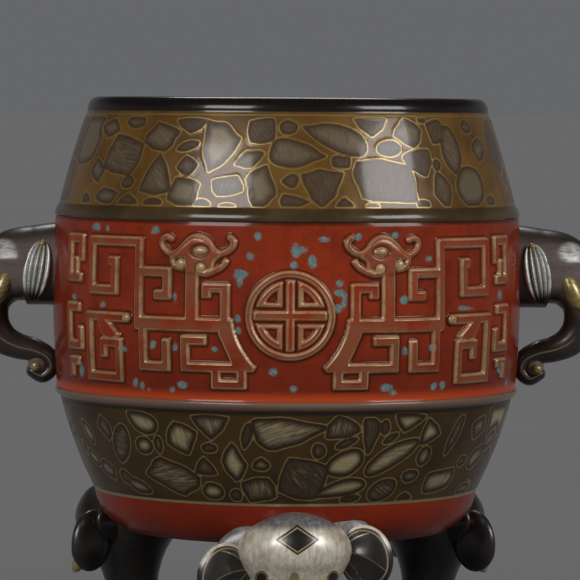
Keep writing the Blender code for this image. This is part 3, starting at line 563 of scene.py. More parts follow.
def pebble_fields(angles, heights, radii, seen, limits, seed):
    """Signed distance to the pebbles' edges (negative inside) and their own coordinates.

    The visible front has the listed pebbles; the rest is a seeded packing.
    """
    mean_radius = 0.5 * (radii[0] + radii[-1])
    x, y = np.meshgrid(angles * mean_radius / MM, heights / MM)
    seen_field = np.full(x.shape, FAR)
    own = np.zeros(x.shape + (3,))
    source = np.random.default_rng(seed)
    for index, (column, row, half_width, half_height, tilt, corners, heading) in enumerate(seen):
        radius = mean_radius
        for _ in range(3):
            angle, height, near = photo_place(column, row, radius)
            radius = float(np.interp(height, heights, radii))
        to_mm = near * CAMERA_DISTANCE / FOCAL_PIXELS / MM
        stretch = mean_radius / radius / max(0.30, math.cos(angle - CAMERA_AZIMUTH))
        outline_x, outline_y = pebble_outline(
            half_width * to_mm, half_height * to_mm, tilt, corners, heading, seed + index)
        centre_x = angle * mean_radius / MM
        centre_y = height / MM
        outline = list(zip(centre_x + outline_x * stretch, centre_y + outline_y))
        reach = 1.3 * max(half_width * to_mm * stretch, half_height * to_mm) + 3.0
        window = (np.abs(x - centre_x) < reach) & (np.abs(y - centre_y) < reach)
        outside = -polygon_inside(x[window], y[window], outline)
        nearer = outside < seen_field[window]
        seen_field[window] = np.where(nearer, outside, seen_field[window])
        turn = source.uniform(0.0, math.pi)
        tone = source.uniform(0.0, 1.0)
        dx = x[window] - centre_x
        dy = y[window] - centre_y
        mine = np.stack((*spun_plane(dx, dy, -turn), np.full(dx.shape, tone)), axis=-1)
        own[window] = np.where(nearer[:, None], mine, own[window])
    packed_field, packed_own = packed_pebbles(x, y, mean_radius, seen_field, limits, seed + 400)
    nearer = packed_field < seen_field
    own = np.where(nearer[..., None], packed_own, own)
    field = np.minimum(packed_field, seen_field)
    edge = np.minimum(y - limits[0] / MM, limits[1] / MM - y)
    return np.maximum(field, 1.0 - edge), own


def packed_pebbles(x, y, mean_radius, seen_field, limits, seed):
    """Rounded cells of a seeded packing, kept clear of the listed pebbles."""
    source = np.random.default_rng(seed)
    low = limits[0] / MM
    high = limits[1] / MM
    girth = 2.0 * math.pi * mean_radius / MM
    centres = []
    for size in PACKED_SIZES:
        for _ in range(PACKING_TRIES):
            across = source.uniform(-0.5 * girth, 0.5 * girth)
            up = source.uniform(low + 0.3 * size, high - 0.3 * size)
            clear = True
            for other_x, other_y, other_size in centres:
                gap = abs(across - other_x)
                gap = min(gap, girth - gap)
                if math.hypot(gap, up - other_y) < 0.94 * (size + other_size):
                    clear = False
                    break
            if clear:
                centres.append((across, up, size))
    warped_x = x + 0.9 * wavy(x * 0.16, y * 0.16, seed + 1)
    warped_y = y + 0.9 * wavy(x * 0.16, y * 0.16, seed + 2)
    count = len(centres)
    power = np.empty((count,) + x.shape, np.float32)
    for index, (centre_x, centre_y, size) in enumerate(centres):
        gap = np.mod(warped_x - centre_x + 0.5 * girth, girth) - 0.5 * girth
        power[index] = gap * gap + (warped_y - centre_y) ** 2 - size * size
    nearest = power.argmin(axis=0)
    least = power.min(axis=0)
    places = np.array(centres)
    blend = np.zeros(x.shape)
    own_centre = places[nearest]
    for index in range(count):
        gap = np.mod(own_centre[..., 0] - places[index, 0] + 0.5 * girth, girth) - 0.5 * girth
        between = np.hypot(gap, own_centre[..., 1] - places[index, 1])
        border = (power[index] - least) / (2.0 * np.maximum(between, 1.0))
        blend += np.where(nearest == index, 0.0, np.exp(-border / SEAM_BLEND))
    border = -SEAM_BLEND * np.log(np.maximum(blend, 1e-12))
    edge = np.minimum(y - low, high - y)
    border = -SEAM_BLEND * np.log(np.exp(-border / SEAM_BLEND) + np.exp(-np.maximum(edge, 0.0) / SEAM_BLEND))
    outside = np.abs(own_centre[..., 0]) * MM / mean_radius > PEBBLE_VIEW_LIMIT
    border = np.where(outside, np.minimum(border, seen_field - 0.9), -50.0)
    turn = own_centre[..., 2] * 7.0 + own_centre[..., 0]
    dx = np.mod(x - own_centre[..., 0] + 0.5 * girth, girth) - 0.5 * girth
    dy = y - own_centre[..., 1]
    tone = np.mod(own_centre[..., 0] * 0.37 + own_centre[..., 1] * 0.71, 1.0)
    return SEAM_HALF_WIDTH - border, np.stack((*spun_plane(dx, dy, -turn), tone), axis=-1)


def lip_profile():
    """Lip from the band up its rounded side to the flat round the mouth."""
    depth = LIP_OUTER_RADIUS - LIP_FLAT_OUTER_RADIUS
    points = []
    for angle in np.linspace(0.0, 0.5 * math.pi, 13)[1:]:
        up = RIM_HEIGHT - LIP_HEIGHT * (1.0 - math.sin(angle))
        points.append((LIP_FLAT_OUTER_RADIUS + depth * math.cos(angle), up))
    mouth = LIP_OUTER_RADIUS - MOUTH_WALL
    points.append((mouth + 0.3 * LIP_HEIGHT + 0.0006, RIM_HEIGHT))
    for angle in np.linspace(0.0, 0.5 * math.pi, 6)[1:]:
        points.append((
            mouth + 0.3 * LIP_HEIGHT * (1.0 - math.sin(angle)),
            RIM_HEIGHT - 0.3 * LIP_HEIGHT * (1.0 - math.cos(angle))))
    return points


def make_band(name, material, profile, on_band, pebbles, limits, radius, seeds, sunk=0.0, splashed=False):
    """Surface of a pebble band and what joins it above and below, all round."""
    packing_seed, wave_seed = seeds
    angles = np.linspace(-math.pi, math.pi, BAND_COLUMNS, endpoint=False)
    pebble = np.full((len(profile), BAND_COLUMNS), FAR)
    places = np.zeros(pebble.shape + (3,))
    pebble[on_band], places[on_band] = pebble_fields(
        angles, profile[on_band, 1], profile[on_band, 0], pebbles, limits, packing_seed)
    x, y = np.meshgrid(angles * radius / MM, profile[:, 1] / MM)
    push = GROUND_RISE * smooth(-pebble, -0.9, 0.3) + OUTLINE_RISE * bump(-pebble, -0.85, -0.45, 0.25)
    push = push - sunk + BAND_UNEVEN * wavy(x * 0.25, y * 0.25, wave_seed)
    fields = {"pebble": pebble, "pebble_place": places}
    if splashed:
        fields["splash"] = splash_field(x, y, radius, 51, 30)
    item = grid_object(name, turned(profile, angles, push * MM), True, fields)
    item.data.materials.append(material)
    return item


def make_upper():
    """Upper ridge, pebble band and lip, all round."""
    ridge = round_ridge(
        (float(panel_radius(panel_top())), panel_top()),
        (UPPER_RIDGE_RADIUS - RIDGE_RISE, UPPER_RIDGE_HEIGHT + RIDGE_HALF_HEIGHT), 0.62 * RIDGE_RISE, 16)
    foot = (LIP_OUTER_RADIUS, RIM_HEIGHT - LIP_HEIGHT)
    hidden = [(ridge[0][0] - 0.0008, ridge[0][1])]
    outline = hidden + ridge + bowed(ridge[-1], foot, UPPER_BAND_BULGE, 20) + lip_profile()
    profile = resample(outline, BAND_SPACING)
    height = profile[:, 1]
    on_band = (height <= RIM_HEIGHT - 0.5 * LIP_HEIGHT) & (height >= panel_top() - MM)
    limits = (UPPER_RIDGE_HEIGHT + RIDGE_HALF_HEIGHT + 0.0001, RIM_HEIGHT - 0.0061)
    groove = bump(height, RIM_HEIGHT - 0.0053, RIM_HEIGHT - 0.0047, 0.0004)[:, None]
    return make_band(
        "bowl_upper", upper_material, profile, on_band, UPPER_PEBBLES, limits, UPPER_RIDGE_RADIUS, (100, 31),
        LIP_GROOVE * groove)


def make_lower():
    """Lower ridge, pebble band, red base and underside, all round."""
    base_line = (BASE_LINE_RADIUS, BASE_LINE_HEIGHT)
    outline = [(0.004, UNDERSIDE_HEIGHT), (UNDERSIDE_RADIUS - 0.002, UNDERSIDE_HEIGHT)]
    outline += [(UNDERSIDE_RADIUS - 0.0006, UNDERSIDE_HEIGHT + 0.0002)]
    outline += [(UNDERSIDE_RADIUS, UNDERSIDE_HEIGHT + 0.0008)]
    outline += bowed(outline[-1], base_line, BASE_BULGE, 14)
    ridge_foot = (LOWER_RIDGE_RADIUS - LOWER_RIDGE_RISE, LOWER_RIDGE_HEIGHT - LOWER_RIDGE_HALF_HEIGHT)
    outline += bowed(base_line, ridge_foot, LOWER_BAND_BULGE, 20)
    outline += round_ridge(
        ridge_foot, (float(panel_radius(panel_bottom())), panel_bottom()), 0.95 * LOWER_RIDGE_RISE, 14)[1:]
    under = resample(outline[:2], 0.004)
    side = resample(outline[1:], BAND_SPACING)
    profile = np.concatenate((under[:-1], side))
    on_band = profile[:, 1] >= BASE_LINE_HEIGHT - 0.002
    limits = (BASE_LINE_HEIGHT + 0.0006, LOWER_RIDGE_HEIGHT - LOWER_RIDGE_HALF_HEIGHT - 0.0004)
    return make_band(
        "bowl_lower", lower_material, profile, on_band, LOWER_PEBBLES, limits, BASE_LINE_RADIUS, (200, 32),
        splashed=True)


def make_inside():
    """Inner surface of the bowl and the throat of its mouth."""
    floor = UNDERSIDE_HEIGHT + FLOOR_THICKNESS
    mouth = LIP_OUTER_RADIUS - MOUTH_WALL
    shoulder = (UPPER_RIDGE_RADIUS - RIDGE_RISE - WALL, UPPER_RIDGE_HEIGHT)
    waist = (LOWER_RIDGE_RADIUS - WALL - 0.0006, LOWER_RIDGE_HEIGHT)
    floor_edge = (BASE_LINE_RADIUS - WALL - FLOOR_CORNER, floor)
    corner_end = (BASE_LINE_RADIUS - WALL, floor + FLOOR_CORNER)
    outline = [(mouth, RIM_HEIGHT - 0.3 * LIP_HEIGHT), (mouth, RIM_HEIGHT - LIP_HEIGHT)]
    outline += [(mouth + 0.0015, RIM_HEIGHT - 2.2 * LIP_HEIGHT)]
    outline += bowed(outline[-1], shoulder, 0.0, 10)
    outline += bowed(shoulder, waist, -PANEL_BOTTOM_DROP, 12)
    outline += bowed(waist, corner_end, -LOWER_BAND_BULGE, 10)
    outline += bowed(corner_end, floor_edge, -0.21 * FLOOR_CORNER, 10)
    outline += [(0.0008, floor)]
    profile = resample(outline, 0.0022)
    angles = np.linspace(-math.pi, math.pi, INSIDE_COLUMNS, endpoint=False)
    x, y = np.meshgrid(angles * 60.0, profile[:, 1] / MM)
    push = 0.10 * wavy(x * 0.06, y * 0.5, 61) * smooth(profile[:, 0], 0.0, 0.02)[:, None]
    item = grid_object("bowl_inside", turned(profile, angles, push * MM), True)
    item.data.materials.append(inside_material)
    return item


# Elephant heads

def smooth_stations(stations, pieces):
    """Stations with more between them, on a smooth curve through each value."""
    rows = np.array([stations[0]] + list(stations) + [stations[-1]], float)
    result = []
    for index in range(1, len(rows) - 2):
        a, b, c, d = rows[index - 1:index + 3]
        for share in np.arange(pieces) / pieces:
            result.append(0.5 * (
                2.0 * b + (c - a) * share + (2.0 * a - 5.0 * b + 4.0 * c - d) * share ** 2
                + (3.0 * b - a - 3.0 * c + d) * share ** 3))
    result.append(rows[-1])
    return np.array(result)


def swept_grid(stations, sides):
    """Grid of points round a limb whose stations are (out, up, half thickness, half width)."""
    centre = stations[:, :2]
    along = np.gradient(centre, axis=0)
    along /= np.linalg.norm(along, axis=1)[:, None]
    across = np.stack((-along[:, 1], along[:, 0]), axis=-1)
    angles = np.linspace(0.0, 2.0 * math.pi, sides, endpoint=False)
    swing = stations[:, 2][:, None] * np.cos(angles)[None, :]
    points = np.stack((
        centre[:, 0][:, None] + across[:, 0][:, None] * swing,
        stations[:, 3][:, None] * np.sin(angles)[None, :],
        centre[:, 1][:, None] + across[:, 1][:, None] * swing), axis=-1)
    return points, angles


def rounded_end(stations, pieces=5):
    """Stations closing the limb's far end in a dome."""
    last = stations[-1]
    way = stations[-1, :2] - stations[-2, :2]
    way /= np.linalg.norm(way)
    radius = min(last[2], last[3])
    extra = []
    for share in np.linspace(0.0, 1.0, pieces + 1)[1:]:
        keep = math.sqrt(max(0.0, 1.0 - (0.999 * share) ** 2))
        extra.append(np.concatenate((last[:2] + way * radius * share, last[2:] * keep)))
    return np.concatenate((stations, extra))


def ball_grid(centre, half_sizes, turns, rows=40, columns=64, push=None):
    """Squashed ball as a grid; push moves its surface out, from its two angles."""
    rise = np.linspace(0.02, math.pi - 0.02, rows)[:, None]
    round_angle = np.linspace(0.0, 2.0 * math.pi, columns, endpoint=False)[None, :]
    unit = np.stack((
        np.sin(rise) * np.cos(round_angle), np.sin(rise) * np.sin(round_angle),
        np.cos(rise) * np.ones_like(round_angle)), axis=-1)
    points = unit * np.array(half_sizes)
    if push is not None:
        normals = unit / np.array(half_sizes)
        normals /= np.linalg.norm(normals, axis=-1)[..., None]
        points = points + normals * push(unit)[..., None]
    turn = np.eye(3)
    for axis, angle in zip("XYZ", turns):
        turn = np.array(Matrix.Rotation(angle, 3, axis)) @ turn
    points = points @ turn.T + np.array(centre)
    return points[::-1], unit[::-1]


def tusk_pose(root, tip, flips):
    """Middle, half length and turns of a tusk from root to tip, each axis flipped or kept."""
    way = (Vector(tip) - Vector(root)) * 0.5
    way = Vector([part * flip for part, flip in zip(way, flips)])
    middle = [0.5 * (one + two) for one, two in zip(root, tip)]
    return middle, way.length, tuple(way.to_track_quat("Z", "Y").to_euler())


def spun(points, angle):
    """Points turned about the bowl's axis."""
    turn = np.array(Matrix.Rotation(angle, 3, "Z"))
    return points @ turn.T


# Handle, in hundredths of its reach: from the bowl's axis, above its height, half thickness, half width
HANDLE_HEIGHT = 0.1340
HANDLE_REACH = 0.1108
HANDLE_NECK = (13.27, 11.2)
HANDLE_STATIONS = (
    (78.5, -0.52, 12.6, 11.4), (86.1, -1.6, 11.9, 10.6), (91.6, -6.3, 9.6, 8.6),
    (93.9, -12.7, 6.9, 6.4), (92.9, -19.0, 5.60, 5.23), (89.7, -23.6, 4.87, 4.69),
    (85.0, -26.1, 4.15, 4.33), (79.6, -27.4, 3.70, 4.24), (75.4, -29.5, 3.07, 4.15),
    (74.2, -32.7, 2.53, 4.06), (76.8, -35.4, 2.44, 3.97), (80.0, -34.0, 2.17, 3.79))
HANDLE_CURL = ((78.3, 0.0, -32.0), (3.4, 4.9, 3.3))
HANDLE_EAR = ((78.0, 10.3, -2.0), (4.6, 3.1, 9.6))
HANDLE_EAR_TURNS = (8.0, -8.0, -14.0)
HANDLE_EAR_BEAD = ((76.6, 10.9, 6.6), 1.1)
HANDLE_TUSK = ((87.6, 7.9, -2.7), (91.7, 8.8, -11.8), 3.0)
HANDLE_TIP_BEAD = ((79.0, 4.5, -32.2), 1.6)

# Foot, in hundredths of its height: out from its own axis, below its top, half thickness, half width
FOOT_RADIUS = 0.0625
FOOT_TOP = 0.0560
FOOT_TURN = math.radians(2.1)
FRONT_EAR_LIFT = 0.0030
FOOT_STATIONS = (
    (-3.57, 7.14, 7.14, 7.14), (-2.14, 10.5, 20.0, 19.29), (0.0, 17.2, 31.2, 30.4),
    (0.71, 25.6, 34.29, 34.29), (0.36, 35.0, 30.0, 31.79), (0.0, 45.54, 24.29, 25.36),
    (-1.07, 58.04, 18.93, 18.93), (-1.79, 71.43, 15.71, 16.07), (1.43, 83.93, 13.93, 15.0),
    (11.43, 91.43, 11.43, 14.29), (22.86, 88.21, 8.93, 12.86), (26.07, 79.64, 6.43, 10.36))
FOOT_EAR = ((3.57, 42.5, 36.25), (7.14, 16.5, 19.64))
FOOT_EAR_TURNS = (12.0, 0.0, -16.0)
FOOT_SHAWL = ((-3.57, 0.0, 23.21), (8.93, 47.5, 19.29))
FOOT_TUSK = ((21.43, 15.36, 42.86), (30.0, 17.5, 58.93), 4.64)
RIB_DEPTH = 0.00045
RIB_PACE = 4.5
FLUTE_DEPTH = 0.00050

# Paint on the front foot, in millimetres across and above the ground: centre, then half sizes
LOZENGE = (-0.1, 46.4, 6.1, 4.05)
FACE_MARKS = (((-11.5, 32.7), (1.7, 2.3)), ((12.3, 32.7), (1.7, 2.3)))
BROW_SPOT = ((-0.9, 33.2), (1.6, 2.5))
CROWN_TOP = 52.0

# What each part of a head is, as painted
LIMB = 0.0
EAR = 1.0
GILT = 2.0
SHAWL = 3.0


def head_grid(name, points, part, angle, values):
    """One closed form of a head, turned into place, with its paint fields."""
    shape = points.shape[:2]
    fields = {"part": np.full(shape, part)}
    for label in ("along", "side", "front", "rib", "rim", "silver"):
        fields[label] = np.broadcast_to(values.get(label, 0.0), shape)
    return grid_object(name, spun(points, angle), True, fields)


def leaf_flutes(side):
    """Curved flutes of a handle's ear, fanning down from its narrow top."""
    def push(unit):
        return FLUTE_DEPTH * np.cos(leaf_turn(unit) * 5.0 * math.pi) * smooth(side * unit[..., 1], 0.05, 0.45)
    return push


def leaf_turn(unit):
    """Place across a leaf, from -1 at its inner edge to 1 at its bulging one, at each height."""
    width = np.sqrt(np.clip(1.0 - unit[..., 2] ** 2, 0.04, 1.0))
    return np.clip(unit[..., 0] / width, -1.0, 1.0)


def make_handle(name, angle):
    share = 0.01 * HANDLE_REACH
    wall = (PANEL_RADIUS - 0.85 * WALL) / share
    table = np.array(((wall, 0.0, *HANDLE_NECK), *HANDLE_STATIONS)) * share
    table[:, 1] += HANDLE_HEIGHT
    rows = rounded_end(smooth_stations(table, STATION_PIECES))
    points, turns = swept_grid(rows, 72)
    brow = 0.0009 * smooth(points[..., 0], 0.088, 0.094) * bump(points[..., 2], 0.1355, 0.1400, 0.0025)
    points[..., 1] += np.sign(points[..., 1]) * brow
    items = [head_grid(name, points[:, ::-1], LIMB, angle, {
        "along": np.linspace(0.0, 1.0, len(rows))[:, None], "side": np.sin(turns[::-1])[None, :],
        "front": np.cos(turns[::-1])[None, :]})]

    def add_ball(place, sizes, part, turn=(0.0, 0.0, 0.0), push=None, side=1.0, rows=28, columns=44):
        centre = (place[0] * share, side * place[1] * share, HANDLE_HEIGHT + place[2] * share)
        grid, unit = ball_grid(centre, [size * share for size in sizes], turn, rows, columns, push)
        items.append(head_grid(name + "_bit", grid, part, angle, {
            "rib": leaf_turn(unit), "rim": unit[..., 2], "side": side * unit[..., 1]}))

    add_ball(*HANDLE_CURL, LIMB)
    for side in (-1.0, 1.0):
        lean, nod, spread = (math.radians(degrees) for degrees in HANDLE_EAR_TURNS)
        add_ball(*HANDLE_EAR, EAR, (side * lean, nod, side * spread), leaf_flutes(side), side, 72, 96)
        for bead, radius in (HANDLE_EAR_BEAD, HANDLE_TIP_BEAD):
            add_ball(bead, (radius, radius, radius), GILT, side=side, rows=16, columns=24)
        root, tip, radius = HANDLE_TUSK
        middle, length, lean = tusk_pose(root, tip, (1.0, side, 1.0))
        add_ball(middle, (radius, 0.9 * radius, length + 1.6), GILT, lean, None, side)
    item = joined(name, items)
    item.data.materials.append(handle_material)
    return item


def fan_turn(unit, side):
    """Turn and reach of an ear's surface about its inner corner; the turn bends with the reach."""
    across = side * unit[..., 1] + 0.85
    up = unit[..., 2] - 0.30
    reach = np.hypot(across, up)
    return np.arctan2(up, across) + 0.28 * reach, reach


def make_foot(name, angle, ear_lift, silver):
    share = 0.01 * FOOT_TOP
    table = np.array(FOOT_STATIONS) * share
    table[:, 0] += FOOT_RADIUS
    table[:, 1] = FOOT_TOP - table[:, 1]
    rows = rounded_end(smooth_stations(table, STATION_PIECES))
    points, turns = swept_grid(rows, 96)
    points[..., 2] = np.maximum(points[..., 2], 0.0)
    points = points[:, ::-1]
    outer = smooth(points[..., 0], FOOT_RADIUS, FOOT_RADIUS + 0.004)
    items = [head_grid(name, points, LIMB, angle, {
        "along": outer, "side": points[..., 1] / MM, "front": points[..., 2] / MM, "silver": silver})]

    def add_ball(
            place, sizes, part, turn=(0.0, 0.0, 0.0), push=None, side=1.0, lift=0.0, rows=28, columns=44):
        centre = (FOOT_RADIUS + place[0] * share, side * place[1] * share, FOOT_TOP - place[2] * share + lift)
        grid, unit = ball_grid(centre, [size * share for size in sizes], turn, rows, columns, push)
        rib, reach = fan_turn(unit, side)
        items.append(head_grid(name + "_bit", grid, part, angle, {
            "rib": np.abs(np.sin(rib * RIB_PACE)) * reach, "rim": np.hypot(unit[..., 1], unit[..., 2]),
            "front": unit[..., 2], "along": unit[..., 0], "silver": silver}))

    tilt = math.atan2(ear_lift, FOOT_EAR[0][1] * share)
    add_ball(*FOOT_SHAWL, SHAWL, (tilt, 0.0, 0.0), None, 1.0, 0.0, 40, 96)
    for side in (-1.0, 1.0):
        lean, nod, spread = (math.radians(degrees) for degrees in FOOT_EAR_TURNS)

        def fan_ribs(unit, side=side):
            rib, reach = fan_turn(unit, side)
            fade = smooth(unit[..., 0], 0.1, 0.4) * smooth(reach, 0.0, 0.3)
            return RIB_DEPTH * (0.5 - np.abs(np.sin(rib * RIB_PACE))) * fade

        add_ball(*FOOT_EAR, EAR, (side * lean, nod, side * spread), fan_ribs, side, side * ear_lift, 72, 96)
        root, tip, radius = FOOT_TUSK
        middle, length, lean = tusk_pose(root, tip, (1.0, side, -1.0))
        add_ball(middle, (radius, radius, length + 1.8), GILT, lean, None, side)
    item = joined(name, items)
    item.data.materials.append(foot_material)
    return item


# Materials

class Wire:
    """Output of a shader node that takes plain arithmetic."""

    def __init__(self, socket):
        self.socket = socket
        self.tree = socket.id_data

    def calc(self, operation, *others):
        values = dict(enumerate((self, *others)))
        return node_wire(self.tree, "ShaderNodeMath", 0, values, operation=operation)

    def __add__(self, other):
        return self.calc("ADD", other)

    def __sub__(self, other):
        return self.calc("SUBTRACT", other)

    def __mul__(self, other):
        return self.calc("MULTIPLY", other)

    def __truediv__(self, other):
        return self.calc("DIVIDE", other)

    def __abs__(self):
        return self.calc("ABSOLUTE")

    def most(self, other):
        return self.calc("MAXIMUM", other)


def connect(value, socket):
    """Feed a wire, a colour, a vector or a number into a socket."""
    if isinstance(value, Wire):
        value.tree.links.new(value.socket, socket)
    elif isinstance(value, tuple) and socket.type == "RGBA":
        socket.default_value = (*value, 1.0)
    else:
        socket.default_value = value


def node_wire(tree, kind, output, values=None, **settings):
    """Output of a new node with its settings and inputs in place."""
    made = tree.nodes.new(kind)
    for label, value in settings.items():
        setattr(made, label, value)
    for key, value in (values or {}).items():
        connect(value, made.inputs[key])
    return Wire(made.outputs[output])


def field(tree, name, output="Fac"):
    """Value that the mesh carries on its vertices."""
    return node_wire(tree, "ShaderNodeAttribute", output, attribute_name=name)


def step(value, low, high):
    """0 below low, 1 above high, smooth between; low above high turns it round."""
    values = {"Value": value, "From Min": low, "From Max": high, "To Min": 0.0, "To Max": 1.0}
    if low > high:
        values.update({"From Min": high, "From Max": low, "To Min": 1.0, "To Max": 0.0})
    return node_wire(value.tree, "ShaderNodeMapRange", "Result", values, interpolation_type="SMOOTHSTEP")


def within(value, low, high, soft):
    """1 between low and high, with soft ends."""
    return step(value, low - soft, low + soft) * step(value, high + soft, high - soft)


def mixed(share, first, second):
    """Blend of two colours by a share."""
    return node_wire(share.tree, "ShaderNodeMix", 2, {0: share, 6: first, 7: second}, data_type="RGBA")


def number(share, first, second):
    """Blend of two numbers by a share."""
    return node_wire(share.tree, "ShaderNodeMix", 0, {0: share, 2: first, 3: second}, data_type="FLOAT")


def layered(colour, *layers):
    """Colours laid over a ground one after the other, each by its share."""
    for share, over in layers:
        colour = mixed(share, colour, over)
    return colour


def cloud(vector, scale, detail=3.0, rough=0.55, warp=0.0):
    values = {"Vector": vector, "Scale": scale, "Detail": detail, "Roughness": rough, "Distortion": warp}
    return node_wire(vector.tree, "ShaderNodeTexNoise", "Fac", values)


def place_of(tree, output="Object"):
    return node_wire(tree, "ShaderNodeTexCoord", output)


def stretched(vector, scale):
    return node_wire(vector.tree, "ShaderNodeVectorMath", 0, {0: vector, 1: scale}, operation="MULTIPLY")


def part_of(vector, axis):
    return node_wire(vector.tree, "ShaderNodeSeparateXYZ", axis, {"Vector": vector})


def oval(across, up, centre, half_sizes):
    """Squared distance from the centre of an oval, 1 at its edge."""
    x = (across - centre[0]) / half_sizes[0]
    y = (up - centre[1]) / half_sizes[1]
    return x * x + y * y


def new_material(name, coat, coat_roughness, specular=0.5):
    made = bpy.data.materials.new(name)
    made.use_nodes = True
    shader = made.node_tree.nodes["Principled BSDF"]
    shader.inputs["Specular IOR Level"].default_value = specular
    shader.inputs["Coat Weight"].default_value = coat
    shader.inputs["Coat Roughness"].default_value = coat_roughness
    return made, made.node_tree, shader


def finish_shader(shader, colour, roughness, metal, relief, strength=0.10):
    """Wire colour, roughness, metal share and bump into the shader."""
    values = {"Height": relief, "Strength": strength, "Distance": GRAIN_DEPTH}
    dent = node_wire(colour.tree, "ShaderNodeBump", "Normal", values)
    for label, value in (
            ("Base Color", colour), ("Roughness", roughness), ("Metallic", metal), ("Normal", dent)):
        connect(value, shader.inputs[label])


GRAIN_DEPTH = 0.0004

# Colours, as red, green and blue light
GOLD = (0.66, 0.50, 0.28)
GOLD_DARK = (0.36, 0.24, 0.105)
RED = (0.26, 0.030, 0.008)
RED_SHADE = (0.19, 0.021, 0.006)
RED_LOW = (0.105, 0.013, 0.005)
RED_DEEP = (0.050, 0.012, 0.004)
ORANGE = (0.40, 0.052, 0.012)
BASE_RED = (0.21, 0.018, 0.003)
BASE_RED_SHADE = (0.16, 0.014, 0.003)
BASE_GOLD = (0.36, 0.27, 0.13)
UNDERSIDE_CLAY = (0.10, 0.050, 0.030)
TURQUOISE = (0.075, 0.19, 0.20)
TURQUOISE_PALE = (0.17, 0.28, 0.27)
BLACK = (0.010, 0.007, 0.006)
PEWTER = ((0.072, 0.044, 0.020), (0.048, 0.030, 0.014))
# The lower ridge's pewter: paler than the upper ridge's, with a painted highlight in it
LOWER_PEWTER_WITH_HIGHLIGHT = (0.17, 0.105, 0.075)
UPPER_PEBBLE = ((0.105, 0.068, 0.040), (0.046, 0.029, 0.017), (0.34, 0.28, 0.18))
LOWER_PEBBLE = ((0.066, 0.044, 0.022), (0.020, 0.014, 0.010), (0.40, 0.32, 0.18))
UPPER_BROWN = ((0.155, 0.078, 0.016), (0.092, 0.042, 0.010))
LOWER_BROWN = ((0.056, 0.030, 0.008), (0.034, 0.018, 0.006))
INSIDE_BROWN = ((0.10, 0.055, 0.032), (0.055, 0.030, 0.020))
BAND_GOLD = ((0.36, 0.26, 0.10), (0.20, 0.135, 0.045))
HANDLE_DARK = ((0.016, 0.012, 0.009), (0.036, 0.026, 0.018))
HANDLE_MAUVE = ((0.11, 0.082, 0.072), (0.17, 0.138, 0.125))
HANDLE_SILVER = ((0.34, 0.34, 0.32), (0.58, 0.58, 0.53))
HANDLE_OLIVE = ((0.20, 0.16, 0.055), (0.42, 0.34, 0.15))
# Painted shade in the grooves between the flutes of a handle's ear
LEAF_GROOVE_SHADE = (0.12, 0.11, 0.09)
FOOT_DARK = ((0.010, 0.008, 0.007), (0.022, 0.016, 0.012))
FOOT_SILVER = ((0.50, 0.44, 0.35), (0.80, 0.74, 0.62))
FOOT_BLUE_GREY = ((0.10, 0.105, 0.115), (0.22, 0.20, 0.175))
FOOT_RUST = (0.34, 0.19, 0.08)
FOOT_SPOT = (0.28, 0.25, 0.10)

# Heights between which one paint gives way to the next
LIP_START = (0.18715, 0.18765)
LIP_LINE = (0.18605, 0.18665)
UPPER_RIDGE_END = (0.15585, 0.15515)
# Painted shade: the panel's red darkens towards its bottom between these heights
PANEL_PAINTED_SHADE = (0.1220, 0.0980)
LOWER_RIDGE_START = (0.08835, 0.08885)
# Painted shade: a black line under the lower ridge, between these heights
LOWER_RIDGE_PAINTED_SHADE = (0.0872, 0.0886)
MOUTH_START = (0.1850, 0.1885)

# Painted highlight on a handle's brow, as a silver patch: out from the axis and up, then half sizes
HANDLE_PAINTED_HIGHLIGHT = ((0.0985, 0.1393), (0.0040, 0.0030))


def turquoise_mask(tree, place):
    edge = field(tree, "splash") + (cloud(place, 900.0) - 0.5) * 1.1
    return step(edge, -0.30, 0.65) * 0.88


def make_panel_material():
    made, tree, shader = new_material("panel_glaze", 0.30, 0.10, 0.08)
    place = place_of(tree)
    height = part_of(place, "Z")
    patch = cloud(place, 55.0, 4.0)
    grain = cloud(place, 1300.0, 2.0)
    strap = field(tree, "strap")
    bead = field(tree, "bead")
    red = layered(
        mixed(step(patch, 0.35, 0.7), RED, RED_SHADE),
        (step(cloud(place, 190.0, 3.0), 0.45, 0.7) * 0.35, RED_LOW),
        # painted shade: the red darkens towards the bottom of the panel
        (step(height, *PANEL_PAINTED_SHADE) * 0.45, RED_LOW),
        (step(height, panel_bottom() + 0.0040, panel_bottom() + 0.0010), ORANGE),
        # painted shadow: a dark line under the upper ridge
        (step(height, panel_top() - 0.0013, panel_top() - 0.0005) * 0.8, RED_DEEP),
        # pooled dark glaze round the straps and beads, partly painted shade beside the relief
        (within(strap, -0.75, -0.10, 0.30) * 0.75, RED_DEEP),
        (within(bead, -0.8, -0.15, 0.25) * 0.65, RED_DEEP))
    worn = step(cloud(place, 420.0, 3.0, 0.6), 0.28, 0.52)
    rubbed = step(cloud(place, 110.0, 3.0), 0.34, 0.60)
    lines = within(strap, 0.10, 0.85, 0.20) * (rubbed * 0.5 + 0.5)
    lines = lines.most(step(bead, -0.10, 0.12))
    wash = step(strap, 0.0, 0.35) * step(patch, 0.30, 0.65)
    gilt = (lines * (worn * 0.36 + 0.40)).most(wash * 0.16)
    splash = turquoise_mask(tree, place) * step(lines, 0.8, 0.2)
    blue = mixed(step(grain, 0.4, 0.62), TURQUOISE, TURQUOISE_PALE)
    colour = layered(red, (splash, blue), (gilt, mixed(patch, GOLD, GOLD_DARK)))
    rough = number(gilt, patch * 0.12 + 0.22, 0.38)
    finish_shader(shader, colour, rough, gilt * 0.35, grain * 0.3 + patch * 0.8)
    return made


